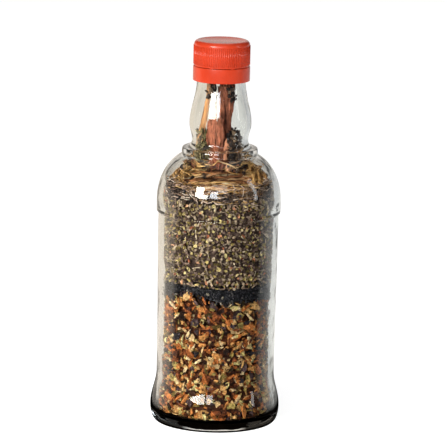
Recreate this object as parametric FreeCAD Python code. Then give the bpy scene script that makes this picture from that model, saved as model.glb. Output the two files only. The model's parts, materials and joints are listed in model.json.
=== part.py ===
"""Clear glass bottle packed dry with herbs, bark and a coil of vine, shut by a ribbed screw cap.

Millimetres, +Z up. The origin is the centre of the circle that the bottle stands on, and -Y is the
front. The bottle, the cap and its tamper band are turned about Z. The fillings lie inside the bottle:
coarse bark and leaf chips, a thin bed of black seeds, fine chopped herb, a tilted coil of vine, strips
of bark in the coil's bowl and tall pieces of bark that reach up through the neck.
"""

import FreeCAD
import Part
import math
import os

Vector = FreeCAD.Vector

# ---- the bottle's outside ------------------------------------------------------------------------
body_radius = 31.3  # at the waist, the narrowest circle of the body
waist_height = 27.0
foot_flare = 3.1  # how far the heel stands out past the waist
foot_height = 8.5  # up to the heel's widest circle
stand_inset = 3.4  # from that circle in to the flat ring that the bottle stands on
stand_width = 2.6
punt_depth = 2.4  # how far the middle of the underside is pushed up
panel_taper = 0.6  # the label panel is this much wider at its top
ledge_height = 112.6  # top of the panel, under the belt
ledge_step = 1.2  # height of the little slope from panel to belt
belt_step = 0.95  # how far the belt stands out past the panel
belt_height = 6.2  # straight part of the belt
shoulder_centre = 12.85  # the shoulder is part of an ellipse whose middle is this far from the axis
shoulder_rise = 26.0  # half the ellipse's height
collar_radius = 19.9  # glass ring at the foot of the neck
collar_thickness = 3.6
neck_foot_radius = 14.9
neck_foot_rise = 4.2  # height of the hollow curve from collar to neck
bulb_swell = 1.5  # the neck swells this much, like a lantern
bulb_height = 8.5  # from the neck's foot to its widest circle
neck_top_step = 0.5  # the neck's top stands out this much past the finish
neck_top_drop = 22.7  # from the widest circle up to the foot of the finish
finish_height = 19.8  # the plain cylinder inside the cap

# ---- the glass -----------------------------------------------------------------------------------
body_wall = 2.7
heel_wall = 3.3
neck_wall = 2.15
floor_thickness = 4.6
floor_corner = 4.0
bore_radius = 10.7
finish_wall = 1.7
throat_flare = 2.7  # the inside leaves the shoulder's curve this far out from the neck's
lip_round = 0.7

# ---- the cap and its tamper band -----------------------------------------------------------------
cap_wall = 2.0  # between the ribs
cap_corner = 2.3
cap_panel = 1.8  # thickness of the top over the lip
rib_count = 90
rib_height = 0.28
rib_share = 0.5  # how much of each pitch the rib fills
rib_margin = 0.8  # plain strip above the cap's lower edge
cap_clearance = 0.35  # between the finish and the skirts of cap and band
band_height = 7.4
band_swell = 0.3  # the band is this much wider than the ribless cap
band_slit = 0.5  # open slit between band and cap
band_foot_gap = 0.3  # from the foot of the finish up to the band
bridge_count = 8
bridge_width = 1.4

# ---- the fillings --------------------------------------------------------------------------------
fill_gap = 0.15  # between any filling and the glass
seed_floor = 68.5  # mean level of the chips under the seeds
seed_floor_wave = 1.1
chip_hump = 5.0  # the chips rise in a heap on the front left
chip_hump_place = (-13.0, -24.0)
chip_hump_radius = 11.0
seed_top = 77.4  # mean level of the seeds under the herb
seed_top_wave = 0.8
herb_rise = 6.4  # from the belt's top up to the herb's level on the axis
herb_tilt = 10.0  # degrees, lower at the front
herb_top_wave = 0.25

coil_strand = 2.3  # thickness of one turn of the vine
coil_strand_gap = 0.1
coil_seat_gap = 0.35  # from the herb's mean surface up to the lowest turn
coil_rows = (3, 3, 2)  # turns side by side in each row, from the bottom
coil_belt_gap = 4.3  # from the coil's outer edge to the inside of the belt ...
coil_shoulder_gap = 0.5  # ... and at least this to the inside of the shoulder
coil_forward = 1.0  # the coil lies this much nearer the front

strip_count = 5  # strips of bark laid round the coil's bowl
strip_pitch = 58.0  # degrees
strip_first = 139.0
strip_thickness = 1.5
strip_gap = 0.3
foot_circle = 0.65  # share of the bowl's radius that the strips leave to the tall pieces
bowl_room = 0.61  # the tall pieces are no wider than this share of the bowl lets them be
foot_reach = 1.18  # under a narrow neck they stand no further out than this share of its radius

# Tall curls of bark that came in through the bore and splay out in the coil's bowl. Each has its
# foot, as shares of the bowl's radius, its head, as shares of the bore's radius, its width, as a
# share of the room, the height of its head over the collar, its thickness, its curl and facing in
# degrees. The room is the bore's radius, or less in a small bowl.
bark_curls = (
    ("bark_stick_main", (0.23, 0.09), (0.30, 0.07), 0.52, 49.0, 1.5, 210.0, -90.0),
    ("bark_stick_short", (-0.15, -0.43), (-0.22, -0.62), 0.54, 20.6, 1.4, 120.0, -95.0),
    ("bark_dark_left", (-0.56, 0.01), (-0.84, -0.04), 0.43, 12.6, 1.7, 100.0, -125.0),
    ("bark_dark_right", (0.55, -0.14), (0.77, -0.26), 0.41, 18.1, 1.7, 110.0, -60.0),
    ("bark_red_left", (-0.45, -0.35), (-0.84, -0.61), 0.37, 1.1, 1.4, 90.0, -130.0),
    ("bark_red_right", (0.23, -0.52), (0.34, -0.78), 0.47, 3.6, 1.5, 100.0, -75.0),
)
twig_radius = 1.1
twig_foot = (-0.83, -0.18)  # shares of the bowl's radius
twig_head = (-0.69, -0.39)  # shares of the bore's radius
twig_head_drop = 19.0  # from the lip down to its head
block_gap = 0.6
# Blocks of bark jammed beside the main curl, under the cap: the side that each is on, its place
# towards the back, as a share of the bore's radius, its size, as shares of the room, the drop from
# the lip to its top, and its length.
bark_blocks = (
    ("bark_dark_head", -1, 0.17, (0.55, 0.41), 8.1, 18.0),
    ("bark_dark_knob", 1, 0.04, (0.23, 0.30), 7.6, 15.0),
)

# ---- sizes worked out from those above -----------------------------------------------------------
foot_radius = body_radius + foot_flare
stand_radius = foot_radius - stand_inset
ledge_radius = body_radius + panel_taper
belt_radius = ledge_radius + belt_step
belt_low = ledge_height + ledge_step
belt_top = belt_low + belt_height
shoulder_reach = belt_radius - shoulder_centre
herb_top = belt_top + herb_rise
bulb_radius = neck_foot_radius + bulb_swell
finish_radius = bore_radius + finish_wall
neck_top_radius = finish_radius + neck_top_step
cap_inside = finish_radius + cap_clearance
cap_radius = cap_inside + cap_wall


def shoulder_angle(radius, shrink=0.0):
    """Angle on the shoulder's ellipse, from level, at which it comes in to this radius."""
    return math.acos((radius - shoulder_centre) / (shoulder_reach - shrink))


collar_low = belt_top + shoulder_rise * math.sin(shoulder_angle(collar_radius))
collar_top = collar_low + collar_thickness
neck_foot = collar_top + neck_foot_rise
bulb_middle = neck_foot + bulb_height
finish_foot = bulb_middle + neck_top_drop
lip_height = finish_foot + finish_height
cap_top = lip_height + cap_panel
band_foot = finish_foot + band_foot_gap
band_top = band_foot + band_height
cap_foot = band_top + band_slit


# ---- helpers -------------------------------------------------------------------------------------
def at(radius, height):
    """A point of an outline, in the XZ plane."""
    return Vector(radius, 0, height)


def straight(start, end):
    return Part.LineSegment(start, end).toShape()


def blend(low, high, count=7):
    """Points of a smooth S from one (radius, height) to another, upright at both ends."""
    (low_radius, low_height), (high_radius, high_height) = low, high
    points = []
    for step in range(count):
        share = step / (count - 1)
        radius = high_radius + (low_radius - high_radius) * (1 + math.cos(math.pi * share)) / 2
        points.append(at(radius, low_height + (high_height - low_height) * share))
    return points


def curve(points, start=None, end=None):
    """A smooth edge through the points, with the given directions at its ends."""
    spline = Part.BSplineCurve()
    upright = Vector(0, 0, 1)
    spline.interpolate(Points=points, InitialTangent=start or upright, FinalTangent=end or upright)
    return spline.toShape()


def ellipse_arc(middle, across, up, start, end, count=9):
    """Points of a stretch of an upright ellipse, between two angles in radians."""
    points = []
    for step in range(count):
        angle = start + (end - start) * step / (count - 1)
        points.append(at(middle.x + across * math.cos(angle), middle.z + up * math.sin(angle)))
    return points


def ellipse_direction(across, up, angle):
    return Vector(-across * math.sin(angle), 0, up * math.cos(angle)).normalize()


def turned(edges):
    """The solid that a closed outline of edges makes when it is turned about Z."""
    wire = Part.Wire(Part.__sortEdges__(edges))
    solid = Part.Face(wire).revolve(Vector(0, 0, 0), Vector(0, 0, 1), 360)
    return solid if solid.ShapeType == "Solid" else solid.Solids[0]


# ---- the glass bottle ----------------------------------------------------------------------------
def outer_edges():
    """Outline of the outside, from the punt up to the lip's outer edge."""
    stand_inner = stand_radius - stand_width
    heel = ellipse_arc(
        at(stand_radius, foot_height), foot_radius - stand_radius, foot_height, -math.pi / 2, 0, 6
    )
    foot = blend((foot_radius, foot_height), (body_radius, waist_height))
    shoulder_end = shoulder_angle(collar_radius)
    shoulder_middle = at(shoulder_centre, belt_top)
    shoulder = ellipse_arc(shoulder_middle, shoulder_reach, shoulder_rise, 0, shoulder_end)
    collar_bulge = at(collar_radius + 0.25, (collar_low + collar_top) / 2)
    collar_shelf = at(collar_radius - 1.2, collar_top)
    bulb = blend((neck_foot_radius, neck_foot), (bulb_radius, bulb_middle), 5)
    bulb_upper = blend((bulb_radius, bulb_middle), (neck_top_radius, finish_foot))
    return [
        Part.Arc(at(0, punt_depth), at(stand_inner * 0.6, punt_depth * 0.7), at(stand_inner, 0)).toShape(),
        straight(at(stand_inner, 0), at(stand_radius, 0)),
        curve(heel, start=Vector(1, 0, 0)),
        curve(foot),
        straight(foot[-1], at(ledge_radius, ledge_height)),
        curve(blend((ledge_radius, ledge_height), (belt_radius, belt_low), 5)),
        straight(at(belt_radius, belt_low), at(belt_radius, belt_top)),
        curve(shoulder, end=ellipse_direction(shoulder_reach, shoulder_rise, shoulder_end)),
        Part.Arc(at(collar_radius, collar_low), collar_bulge, at(collar_radius, collar_top - 0.6)).toShape(),
        straight(at(collar_radius, collar_top - 0.6), collar_shelf),
        curve([collar_shelf, at(neck_foot_radius + 0.9, collar_top + 1.2), bulb[0]], start=Vector(-1, 0, 0)),
        curve(bulb),
        curve(bulb_upper),
        straight(bulb_upper[-1], at(finish_radius, finish_foot)),
        straight(at(finish_radius, finish_foot), at(finish_radius, lip_height - lip_round)),
    ]


def cavity_edges(inset):
    """Outline of the inside, from the middle of the floor up to the bore's mouth, drawn in by inset."""
    floor = floor_thickness + inset
    foot_inner = foot_radius - heel_wall - inset
    waist_inner = body_radius - body_wall - inset
    ledge_inner = ledge_radius - body_wall - inset
    belt_inner = belt_radius - body_wall - inset
    neck_inner = neck_foot_radius - neck_wall - inset
    bulb_inner = bulb_radius - neck_wall - inset
    bore = bore_radius - inset

    corner_middle = at(foot_inner - floor_corner, floor + floor_corner)
    corner = ellipse_arc(corner_middle, floor_corner, floor_corner, -math.pi / 2, 0, 5)
    foot = blend((foot_inner, floor + floor_corner), (waist_inner, waist_height))
    belt = blend((ledge_inner, ledge_height - belt_height / 2), (belt_inner, belt_top), 5)
    shrink = body_wall + inset
    across = shoulder_reach - shrink
    up = shoulder_rise - shrink
    throat_angle = shoulder_angle(neck_inner + throat_flare, shrink)
    shoulder = ellipse_arc(at(shoulder_centre, belt_top), across, up, 0, throat_angle)
    throat_direction = ellipse_direction(across, up, throat_angle)
    bulb = blend((neck_inner, neck_foot), (bulb_inner, bulb_middle), 5)
    bulb_upper = blend((bulb_inner, bulb_middle), (bore, finish_foot))
    return [
        straight(at(0, floor), corner[0]),
        curve(corner, start=Vector(1, 0, 0)),
        curve(foot),
        straight(foot[-1], belt[0]),
        curve(belt),
        curve(shoulder, end=throat_direction),
        curve([shoulder[-1], bulb[0]], start=throat_direction * neck_foot_rise),
        curve(bulb),
        curve(bulb_upper),
        straight(bulb_upper[-1], at(bore, lip_height - inset)),
    ]


def glass_bottle():
    lip_edge = at(finish_radius, lip_height - lip_round)
    lip_top = at(finish_radius - lip_round, lip_height)
    lip_middle = at(finish_radius - lip_round * 0.293, lip_height - lip_round * 0.293)
    closing = [
        Part.Arc(lip_edge, lip_middle, lip_top).toShape(),
        straight(lip_top, at(bore_radius, lip_height)),
        straight(at(0, floor_thickness), at(0, punt_depth)),
    ]
    return turned(outer_edges() + cavity_edges(0.0) + closing)


# ---- the cap and its band ------------------------------------------------------------------------
def ring_solid(inner, outer, low, high):
    tube = Part.makeCylinder(outer, high - low, Vector(0, 0, low))
    return tube.cut(Part.makeCylinder(inner, high - low, Vector(0, 0, low)))


def ribs():
    """A toothed sleeve: the ribs stand on the cap's side and die away at its corner."""
    low = cap_foot + rib_margin
    high = cap_top - cap_corner * 0.6
    pitch = 2 * math.pi / rib_count
    root = cap_radius - rib_height
    tip = cap_radius + rib_height
    points = []
    for number in range(rib_count):
        start = number * pitch
        for radius, share in ((cap_radius, 0.0), (tip, 0.25), (tip, 0.75), (cap_radius, 1.0)):
            angle = start + pitch * rib_share * share
            points.append(Vector(radius * math.cos(angle), radius * math.sin(angle), low))
    toothed = Part.Face(Part.makePolygon(points + points[:1]))
    sleeve = toothed.extrude(Vector(0, 0, high - low))
    sleeve = sleeve.cut(Part.makeCylinder(root, high - low, Vector(0, 0, low)))
    envelope = turned(
        [
            straight(at(0, low), at(cap_radius, low)),
            straight(at(cap_radius, low), at(tip, low + 2 * rib_height)),
            straight(at(tip, low + 2 * rib_height), at(tip, high - cap_corner)),
            straight(at(tip, high - cap_corner), at(cap_radius - rib_height, high)),
            straight(at(cap_radius - rib_height, high), at(0, high)),
            straight(at(0, high), at(0, low)),
        ]
    )
    return sleeve.common(envelope)


def screw_cap():
    corner = ellipse_arc(
        at(cap_radius - cap_corner, cap_top - cap_corner), cap_corner, cap_corner, 0, math.pi / 2, 5
    )
    shell = turned(
        [
            straight(at(cap_inside, cap_foot), at(cap_radius, cap_foot)),
            straight(at(cap_radius, cap_foot), corner[0]),
            curve(corner, end=Vector(-1, 0, 0)),
            straight(corner[-1], at(0, cap_top)),
            straight(at(0, cap_top), at(0, lip_height)),
            straight(at(0, lip_height), at(cap_inside, lip_height)),
            straight(at(cap_inside, lip_height), at(cap_inside, cap_foot)),
        ]
    )
    return shell.fuse(ribs()).removeSplitter()


def tamper_band():
    inner = neck_top_radius + cap_clearance
    band = ring_solid(inner, cap_radius + band_swell, band_foot, band_top)
    bridge_ring = ring_solid(cap_radius - 0.9, cap_radius, band_top, cap_foot)
    for number in range(bridge_count):
        block = Part.makeBox(cap_radius, bridge_width, band_slit, Vector(0, -bridge_width / 2, band_top))
        block.rotate(Vector(0, 0, 0), Vector(0, 0, 1), 360 * (number + 0.5) / bridge_count)
        band = band.fuse(block.common(bridge_ring))
    return band.removeSplitter()


# ---- the layers ----------------------------------------------------------------------------------
def seed_floor_level(x, y):
    wave = math.cos(x / 6.1 + 0.6) * math.cos(y / 7.3 - 0.4)
    off_x, off_y = x - chip_hump_place[0], y - chip_hump_place[1]
    hump = math.exp(-(off_x**2 + off_y**2) / chip_hump_radius**2)
    return seed_floor + seed_floor_wave * wave + chip_hump * hump


def seed_top_level(x, y):
    wave = math.sin(x / 8.3 + 0.5) * math.cos(y / 6.9 + 1.1)
    return seed_top + seed_top_wave * wave


def herb_plane_level(x, y):
    return herb_top + math.tan(math.radians(herb_tilt)) * y


def herb_top_level(x, y):
    wave = math.cos(x / 5.2) * math.sin(y / 5.9)
    return herb_plane_level(x, y) + herb_top_wave * wave


def below(level):
    """Everything under an uneven surface, wide enough for the bottle's inside."""
    reach = belt_radius + 4
    count = 13
    steps = [reach * (2 * number / (count - 1) - 1) for number in range(count)]
    surface = Part.BSplineSurface()
    surface.interpolate([[Vector(x, y, level(x, y)) for y in steps] for x in steps])
    return surface.toShape().extrude(Vector(0, 0, -2 * lip_height))


def cavity():
    edges = cavity_edges(fill_gap)
    top = lip_height - fill_gap
    edges.append(straight(at(bore_radius - fill_gap, top), at(0, top)))
    edges.append(straight(at(0, top), at(0, floor_thickness + fill_gap)))
    return turned(edges)


def layers(space, under_seeds, under_herb, under_top):
    """The three beds, which share their uneven surfaces."""
    return {
        "coarse_mix": space.common(under_seeds),
        "seed_bed": space.common(under_herb).cut(under_seeds),
        "herb_mix": space.common(under_top).cut(under_herb),
    }


# ---- the coil of vine and what lies in its bowl --------------------------------------------------
coil_pitch = coil_strand + coil_strand_gap


def row_lift(row):
    """From the herb's plane up to the middle of a row of turns."""
    return coil_seat_gap + coil_strand / 2 + row * coil_pitch * math.sqrt(3) / 2


def coil_bowl():
    """Inner radius of the coil, whose widest turn clears the belt and, at the back, the shoulder."""
    edge = belt_radius - body_wall - coil_belt_gap
    back = herb_plane_level(0, edge - coil_forward) + row_lift(1)
    rise = (back - belt_top) / (shoulder_rise - body_wall)
    shoulder_inside = shoulder_centre + (shoulder_reach - body_wall) * math.sqrt(1 - rise**2)
    edge = min(edge, shoulder_inside - coil_shoulder_gap)
    return edge - coil_strand - coil_pitch * (max(coil_rows) - 0.5)


def on_herb(solid):
    """Tilts a solid with the herb and moves it there from the XY plane."""
    solid.rotate(Vector(0, 0, 0), Vector(1, 0, 0), herb_tilt)
    solid.translate(Vector(0, -coil_forward, herb_plane_level(0, -coil_forward)))
    return solid


def coil_turns():
    """Round turns packed like pipes in a stack, all tilted with the herb that they lie on."""
    turns = []
    for row, count in enumerate(coil_rows):
        for place in range(count):
            radius = coil_bowl() + coil_strand / 2 + coil_pitch * (place + (row % 2) / 2)
            turn = Part.makeTorus(radius, coil_strand / 2)
            turn.translate(Vector(0, 0, row_lift(row)))
            turns.append(on_herb(turn))
    return turns


def bark_strips():
    """Strips laid round the coil's bowl, just inside its innermost turn."""
    reach = coil_bowl() - strip_gap
    outer_edge = reach - 3 * strip_gap
    inner_edge = coil_bowl() * foot_circle
    chord = math.sqrt(reach**2 - outer_edge**2)
    half = min(chord, inner_edge * math.tan(math.radians(strip_pitch) / 2)) - strip_gap
    strips = []
    for number in range(strip_count):
        corner = Vector(-half, inner_edge, coil_seat_gap)
        strip = Part.makeBox(2 * half, outer_edge - inner_edge, strip_thickness, corner)
        strip.rotate(Vector(0, 0, 0), Vector(0, 0, 1), strip_first + strip_pitch * number)
        strips.append(on_herb(strip))
    return strips


# ---- the tall pieces in the neck -----------------------------------------------------------------
def bark_curl(foot, head, width, thickness, curl, facing):
    """A length of curled bark: a thick arc in section, drawn out from its foot to its head."""
    half = math.radians(curl) / 2
    outer = width / 2 / math.sin(min(half, math.pi / 2))
    inner = outer - thickness
    out_arc = [Vector(outer * math.cos(angle), outer * math.sin(angle), 0) for angle in (-half, 0, half)]
    in_arc = [Vector(inner * math.cos(angle), inner * math.sin(angle), 0) for angle in (half, 0, -half)]
    wire = Part.Wire(
        [
            Part.Arc(*out_arc).toShape(),
            straight(out_arc[2], in_arc[0]),
            Part.Arc(*in_arc).toShape(),
            straight(in_arc[2], out_arc[0]),
        ]
    )
    section = Part.Face(wire)
    section.translate(Vector(-(outer + inner * math.cos(half)) / 2, 0, 0))
    section.rotate(Vector(0, 0, 0), Vector(0, 0, 1), facing)
    section.translate(foot)
    return section.extrude(head - foot)


def on_the_herb(shares, sink=4.0):
    """A point in the coil's bowl, a little under the herb so that a cut there seats the piece."""
    reach = min(coil_bowl(), foot_reach * neck_foot_radius)
    x, y = reach * shares[0], reach * shares[1] - coil_forward
    return Vector(x, y, herb_plane_level(x, y) - sink)


def in_the_bore(shares, height):
    return Vector(bore_radius * shares[0], bore_radius * shares[1], height)


def tall_pieces(space, under_top):
    """Every piece that stands in the neck, within the glass and cut off where it meets the herb."""
    room = min(bore_radius, bowl_room * coil_bowl())
    pieces = {}
    for name, foot, head, width, rise, thickness, curl, facing in bark_curls:
        start, end = on_the_herb(foot), in_the_bore(head, collar_top + rise)
        piece = bark_curl(start, end, room * width, thickness, curl, facing)
        pieces[name] = piece.common(space).cut(under_top)
    start, end = on_the_herb(twig_foot), in_the_bore(twig_head, lip_height - twig_head_drop)
    twig = Part.makeCylinder(twig_radius, (end - start).Length, start, end - start)
    pieces["golden_twig"] = twig.common(space).cut(under_top)
    main_head, main_width = bark_curls[0][2], bark_curls[0][3]
    for name, side, back, size, drop, length in bark_blocks:
        width, depth = room * size[0], room * size[1]
        block = Part.makeBox(width, depth, length, Vector(-width / 2, -depth / 2, 0))
        block.translate(in_the_bore((main_head[0], back), lip_height - drop - length))
        block.translate(Vector(side * (room * main_width / 2 + block_gap + width / 2), 0, 0))
        pieces[name] = block.common(space)
    return pieces


# ---- build ---------------------------------------------------------------------------------------
def build():
    space = cavity()
    under_seeds, under_herb, under_top = below(seed_floor_level), below(seed_top_level), below(herb_top_level)
    solids = {"glass_bottle": glass_bottle(), "screw_cap": screw_cap(), "tamper_band": tamper_band()}
    solids.update(layers(space, under_seeds, under_herb, under_top))
    for number, turn in enumerate(coil_turns(), 1):
        solids[f"vine_turn_{number}"] = turn
    for number, strip in enumerate(bark_strips(), 1):
        solids[f"bark_strip_{number}"] = strip
    solids.update(tall_pieces(space, under_top))
    return solids


os.makedirs("parts", exist_ok=True)
for node, shape in build().items():
    shape.exportStep(f"parts/{node}.step")
    size = shape.BoundBox
    print(
        f"{node}: {len(shape.Solids)} solid, valid {shape.isValid()}, {shape.Volume / 1000:.2f} cm3, "
        f"z {size.ZMin:.1f} to {size.ZMax:.1f}"
    )
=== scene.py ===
# %% [markdown]
# # A glass bottle packed dry with herbs, bark and vine
#
# The bottle is 205 mm high. Its construction comes packed from CAD: the glass, the ribbed cap with
# its tamper band, three beds of dry filling, a coil of vine and the tall pieces of bark in the
# neck. This lesson gives each of them the look of the real thing. The frame is loaded first,
# because every place and size below is taken from it.

# %% Load the imported frame
import json
import math

import bmesh
import bpy
import numpy as np
from mathutils import Euler, Matrix, Vector, noise

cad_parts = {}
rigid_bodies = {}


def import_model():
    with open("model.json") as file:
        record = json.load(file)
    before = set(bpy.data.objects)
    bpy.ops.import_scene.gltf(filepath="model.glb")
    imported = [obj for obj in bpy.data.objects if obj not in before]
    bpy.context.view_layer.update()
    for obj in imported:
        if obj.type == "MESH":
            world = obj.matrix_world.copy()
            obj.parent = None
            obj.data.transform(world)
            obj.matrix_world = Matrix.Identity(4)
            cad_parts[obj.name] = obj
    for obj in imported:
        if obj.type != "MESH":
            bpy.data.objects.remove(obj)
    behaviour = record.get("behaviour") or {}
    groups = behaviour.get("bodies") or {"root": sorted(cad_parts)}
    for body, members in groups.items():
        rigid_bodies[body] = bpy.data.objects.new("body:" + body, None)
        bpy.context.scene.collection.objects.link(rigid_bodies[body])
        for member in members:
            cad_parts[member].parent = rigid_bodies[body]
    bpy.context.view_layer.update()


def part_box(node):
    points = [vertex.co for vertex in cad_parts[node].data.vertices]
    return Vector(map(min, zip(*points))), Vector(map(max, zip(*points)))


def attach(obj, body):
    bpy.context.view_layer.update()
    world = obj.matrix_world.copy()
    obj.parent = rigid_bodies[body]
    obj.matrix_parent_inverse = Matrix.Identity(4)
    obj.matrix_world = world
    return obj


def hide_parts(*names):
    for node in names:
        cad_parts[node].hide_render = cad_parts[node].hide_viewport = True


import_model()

mm = 0.001
scene = bpy.context.scene

# %% [markdown]
# ## The camera
#
# A product picture of a bottle is taken from far away with a long lens, so that its sides stay
# nearly parallel. The camera looks down a little, which shows the top of the cap and the rings of
# the glass as ellipses, and it leans by about a degree, as a hand-held one does. The place comes
# from an aim point on the axis, a distance and two angles. An empty with a Track To constraint
# could aim it, but a matrix says the lean in the same breath.

# %% Make the camera
camera_pitch = math.radians(11.3)
camera_lean = math.radians(1.25)
camera_distance = 1.938
aim = Vector((0, 0, 102.0 * mm))
aim_right, aim_up = 2.87 * mm, 4.4 * mm  # the bottle stands a little left of and below the middle

forward = Vector((0, math.cos(camera_pitch), -math.sin(camera_pitch)))
level_right = Vector((1, 0, 0))
level_up = level_right.cross(forward)
right = level_right * math.cos(camera_lean) + level_up * math.sin(camera_lean)
up = level_up * math.cos(camera_lean) - level_right * math.sin(camera_lean)

camera_data = bpy.data.cameras.new("camera")
camera_data.lens = 294.0
camera_data.sensor_width = 36.0
camera_data.clip_end = 20.0
camera = bpy.data.objects.new("camera", camera_data)
spot = aim + right * aim_right + up * aim_up - forward * camera_distance
turn = Matrix((right, up, -forward)).transposed().to_4x4()
camera.matrix_world = Matrix.Translation(spot) @ turn
scene.collection.objects.link(camera)
scene.camera = camera
scene.view_settings.view_transform = "Standard"
print("camera at", tuple(round(value, 3) for value in spot))

# %% [markdown]
# ## Small helpers for node trees
#
# Materials, shader groups and Geometry Nodes are all trees of nodes. One function adds a node, sets
# its properties and fills its inputs with values or with other nodes' sockets. That keeps each tree
# below as short as a recipe.

# %% Helpers for node trees
def add(tree, kind, inputs=None, **settings):
    """Adds a node, sets its properties, and fills inputs with plain values or links."""
    made = tree.nodes.new(kind)
    for key, value in settings.items():
        setattr(made, key, value)
    for socket, value in (inputs or {}).items():
        if isinstance(value, bpy.types.NodeSocket):
            tree.links.new(value, made.inputs[socket])
        else:
            made.inputs[socket].default_value = value
    return made


def got(tree, kind, inputs=None, **settings):
    """The first output of a new node."""
    return add(tree, kind, inputs, **settings).outputs[0]


def maths(tree, operation, first, second=0.0):
    """The result of one Math node."""
    return got(tree, "ShaderNodeMath", {0: first, 1: second}, operation=operation)


def span(tree, value, start=0.0, end=1.0, low=0.0, high=1.0, shape="LINEAR"):
    """Turns start to end into low to high, and holds the value there beyond both ends."""
    return got(tree, "ShaderNodeMapRange",
               {"Value": value, "From Min": start, "From Max": end, "To Min": low, "To Max": high},
               interpolation_type=shape)


def vectors(tree, operation, first, second):
    """The result of one Vector Math node; the second is a vector, or a number for SCALE."""
    socket = 3 if operation == "SCALE" else 1
    return got(tree, "ShaderNodeVectorMath", {0: first, socket: second}, operation=operation)


def cloud(tree, place, scale, detail=2.0, **more):
    """Soft noise at a place, from 0 to 1."""
    return got(tree, "ShaderNodeTexNoise", {"Vector": place, "Scale": scale, "Detail": detail, **more})


def bumps(tree, height, strength, distance):
    """Normals that are tilted as if the surface had this relief."""
    return got(tree, "ShaderNodeBump", {"Height": height, "Strength": strength, "Distance": distance})


def ramp(tree, factor, stops):
    """A colour ramp: stops are (place, colour), and each colour is three linear numbers."""
    made = add(tree, "ShaderNodeValToRGB", {"Fac": factor})
    elements = made.color_ramp.elements
    while len(elements) < len(stops):
        elements.new(0.5)
    for element, (place, colour) in zip(elements, stops):
        element.position = place
        element.color = (*colour, 1.0)
    return made.outputs["Color"]


def new_material(name):
    """An empty material and its tree."""
    material = bpy.data.materials.new(name)
    material.use_nodes = True
    material.node_tree.nodes.clear()
    return material, material.node_tree


def finish_material(tree, shader):
    """Sends a shader to the material's output."""
    add(tree, "ShaderNodeOutputMaterial", {"Surface": shader})


# %% [markdown]
# ## Meshes from arrays
#
# Most pieces here are worked out with numpy: rows of points become a mesh, and a number for each
# point, such as a tint, rides along as an attribute that the material reads. Moulded and grown
# things have uneven surfaces, so a small field of soft noise is kept at hand too. Every finished
# piece is handed to the frame in one way: the CAD nodes that it stands for are hidden, and it is
# put on the root body.

# %% Helpers for meshes
def note(mesh, **attributes):
    """Stores numbers on a mesh's points, one for each point under each name."""
    for key, values in attributes.items():
        made = mesh.attributes.new(key, "FLOAT", "POINT")
        made.data.foreach_set("value", np.asarray(values, dtype=np.float32))


def new_piece(name, points, faces, material=None, smooth=True, edges=(), **attributes):
    """An object at the origin from points in metres, with float attributes on its points."""
    mesh = bpy.data.meshes.new(name)
    mesh.from_pydata([tuple(point) for point in points], edges, [tuple(face) for face in faces])
    mesh.update()
    mesh.shade_smooth() if smooth else mesh.shade_flat()
    note(mesh, **attributes)
    if material:
        mesh.materials.append(material)
    obj = bpy.data.objects.new(name, mesh)
    scene.collection.objects.link(obj)
    return obj


def hand_over(piece, slot, *nodes):
    """Hides the CAD nodes that a piece replaces and puts the piece on the root body. The slot is not used."""
    if nodes:
        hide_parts(*nodes)
    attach(piece, "root")
    print(f"{piece.name}: {len(piece.data.polygons)} faces")


def drop(obj):
    """Throws away an object and its mesh."""
    mesh = obj.data
    bpy.data.objects.remove(obj)
    bpy.data.meshes.remove(mesh)


def face_outwards(obj):
    """Merges doubles and turns all faces outwards."""
    edit = bmesh.new()
    edit.from_mesh(obj.data)
    bmesh.ops.remove_doubles(edit, verts=edit.verts, dist=0.001 * mm)
    bmesh.ops.recalc_face_normals(edit, faces=edit.faces)
    edit.to_mesh(obj.data)
    edit.free()
    return obj


def crease(obj, degrees):
    """Marks edges sharper than this, so that smooth shading stops at them."""
    obj.data.set_sharp_from_angle(angle=math.radians(degrees))


def soft_noise(points, size, seed=0.0):
    """Smooth noise from -1 to 1 at each point, with features about this size."""
    shift = Vector((seed * 7.31, seed * 3.17, seed * 5.93))
    return np.array([noise.noise(Vector(point) / size + shift) for point in points])


def read_points(mesh):
    """The mesh's points as rows of three."""
    flat = np.empty(len(mesh.vertices) * 3)
    mesh.vertices.foreach_get("co", flat)
    return flat.reshape(-1, 3)


def write_points(mesh, points):
    """Puts changed points back into the mesh."""
    mesh.vertices.foreach_set("co", np.ascontiguousarray(points).ravel())
    mesh.update()


def tube_faces(rings, sides, closed=True):
    """Faces between rings of points that follow one another, and over both ends if closed."""
    faces = []
    for row in range(rings - 1):
        for side in range(sides):
            first, second = row * sides + side, row * sides + (side + 1) % sides
            faces.append((first, second, second + sides, first + sides))
    if closed:
        last = (rings - 1) * sides
        faces += [tuple(range(sides))[::-1], tuple(range(last, last + sides))]
    return faces


def lathe(name, outline, segments, material):
    """A closed skin from an outline turned about the axis; points on the axis become poles."""
    angle = np.linspace(0, 2 * np.pi, segments, endpoint=False)
    points, rings = [], []
    for radius, height in outline:
        if radius < 1e-7:
            rings.append([len(points)] * segments)
            points.append((0, 0, height))
        else:
            rings.append(list(range(len(points), len(points) + segments)))
            points += [(radius * math.cos(a), radius * math.sin(a), height) for a in angle]
    faces = []
    for low, high in zip(rings[:-1], rings[1:]):
        for side in range(segments):
            following = (side + 1) % segments
            loop = [low[side], low[following], high[following], high[side]]
            faces.append(list(dict.fromkeys(loop)))
    return new_piece(name, points, [face for face in faces if len(face) > 2], material)


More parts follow.
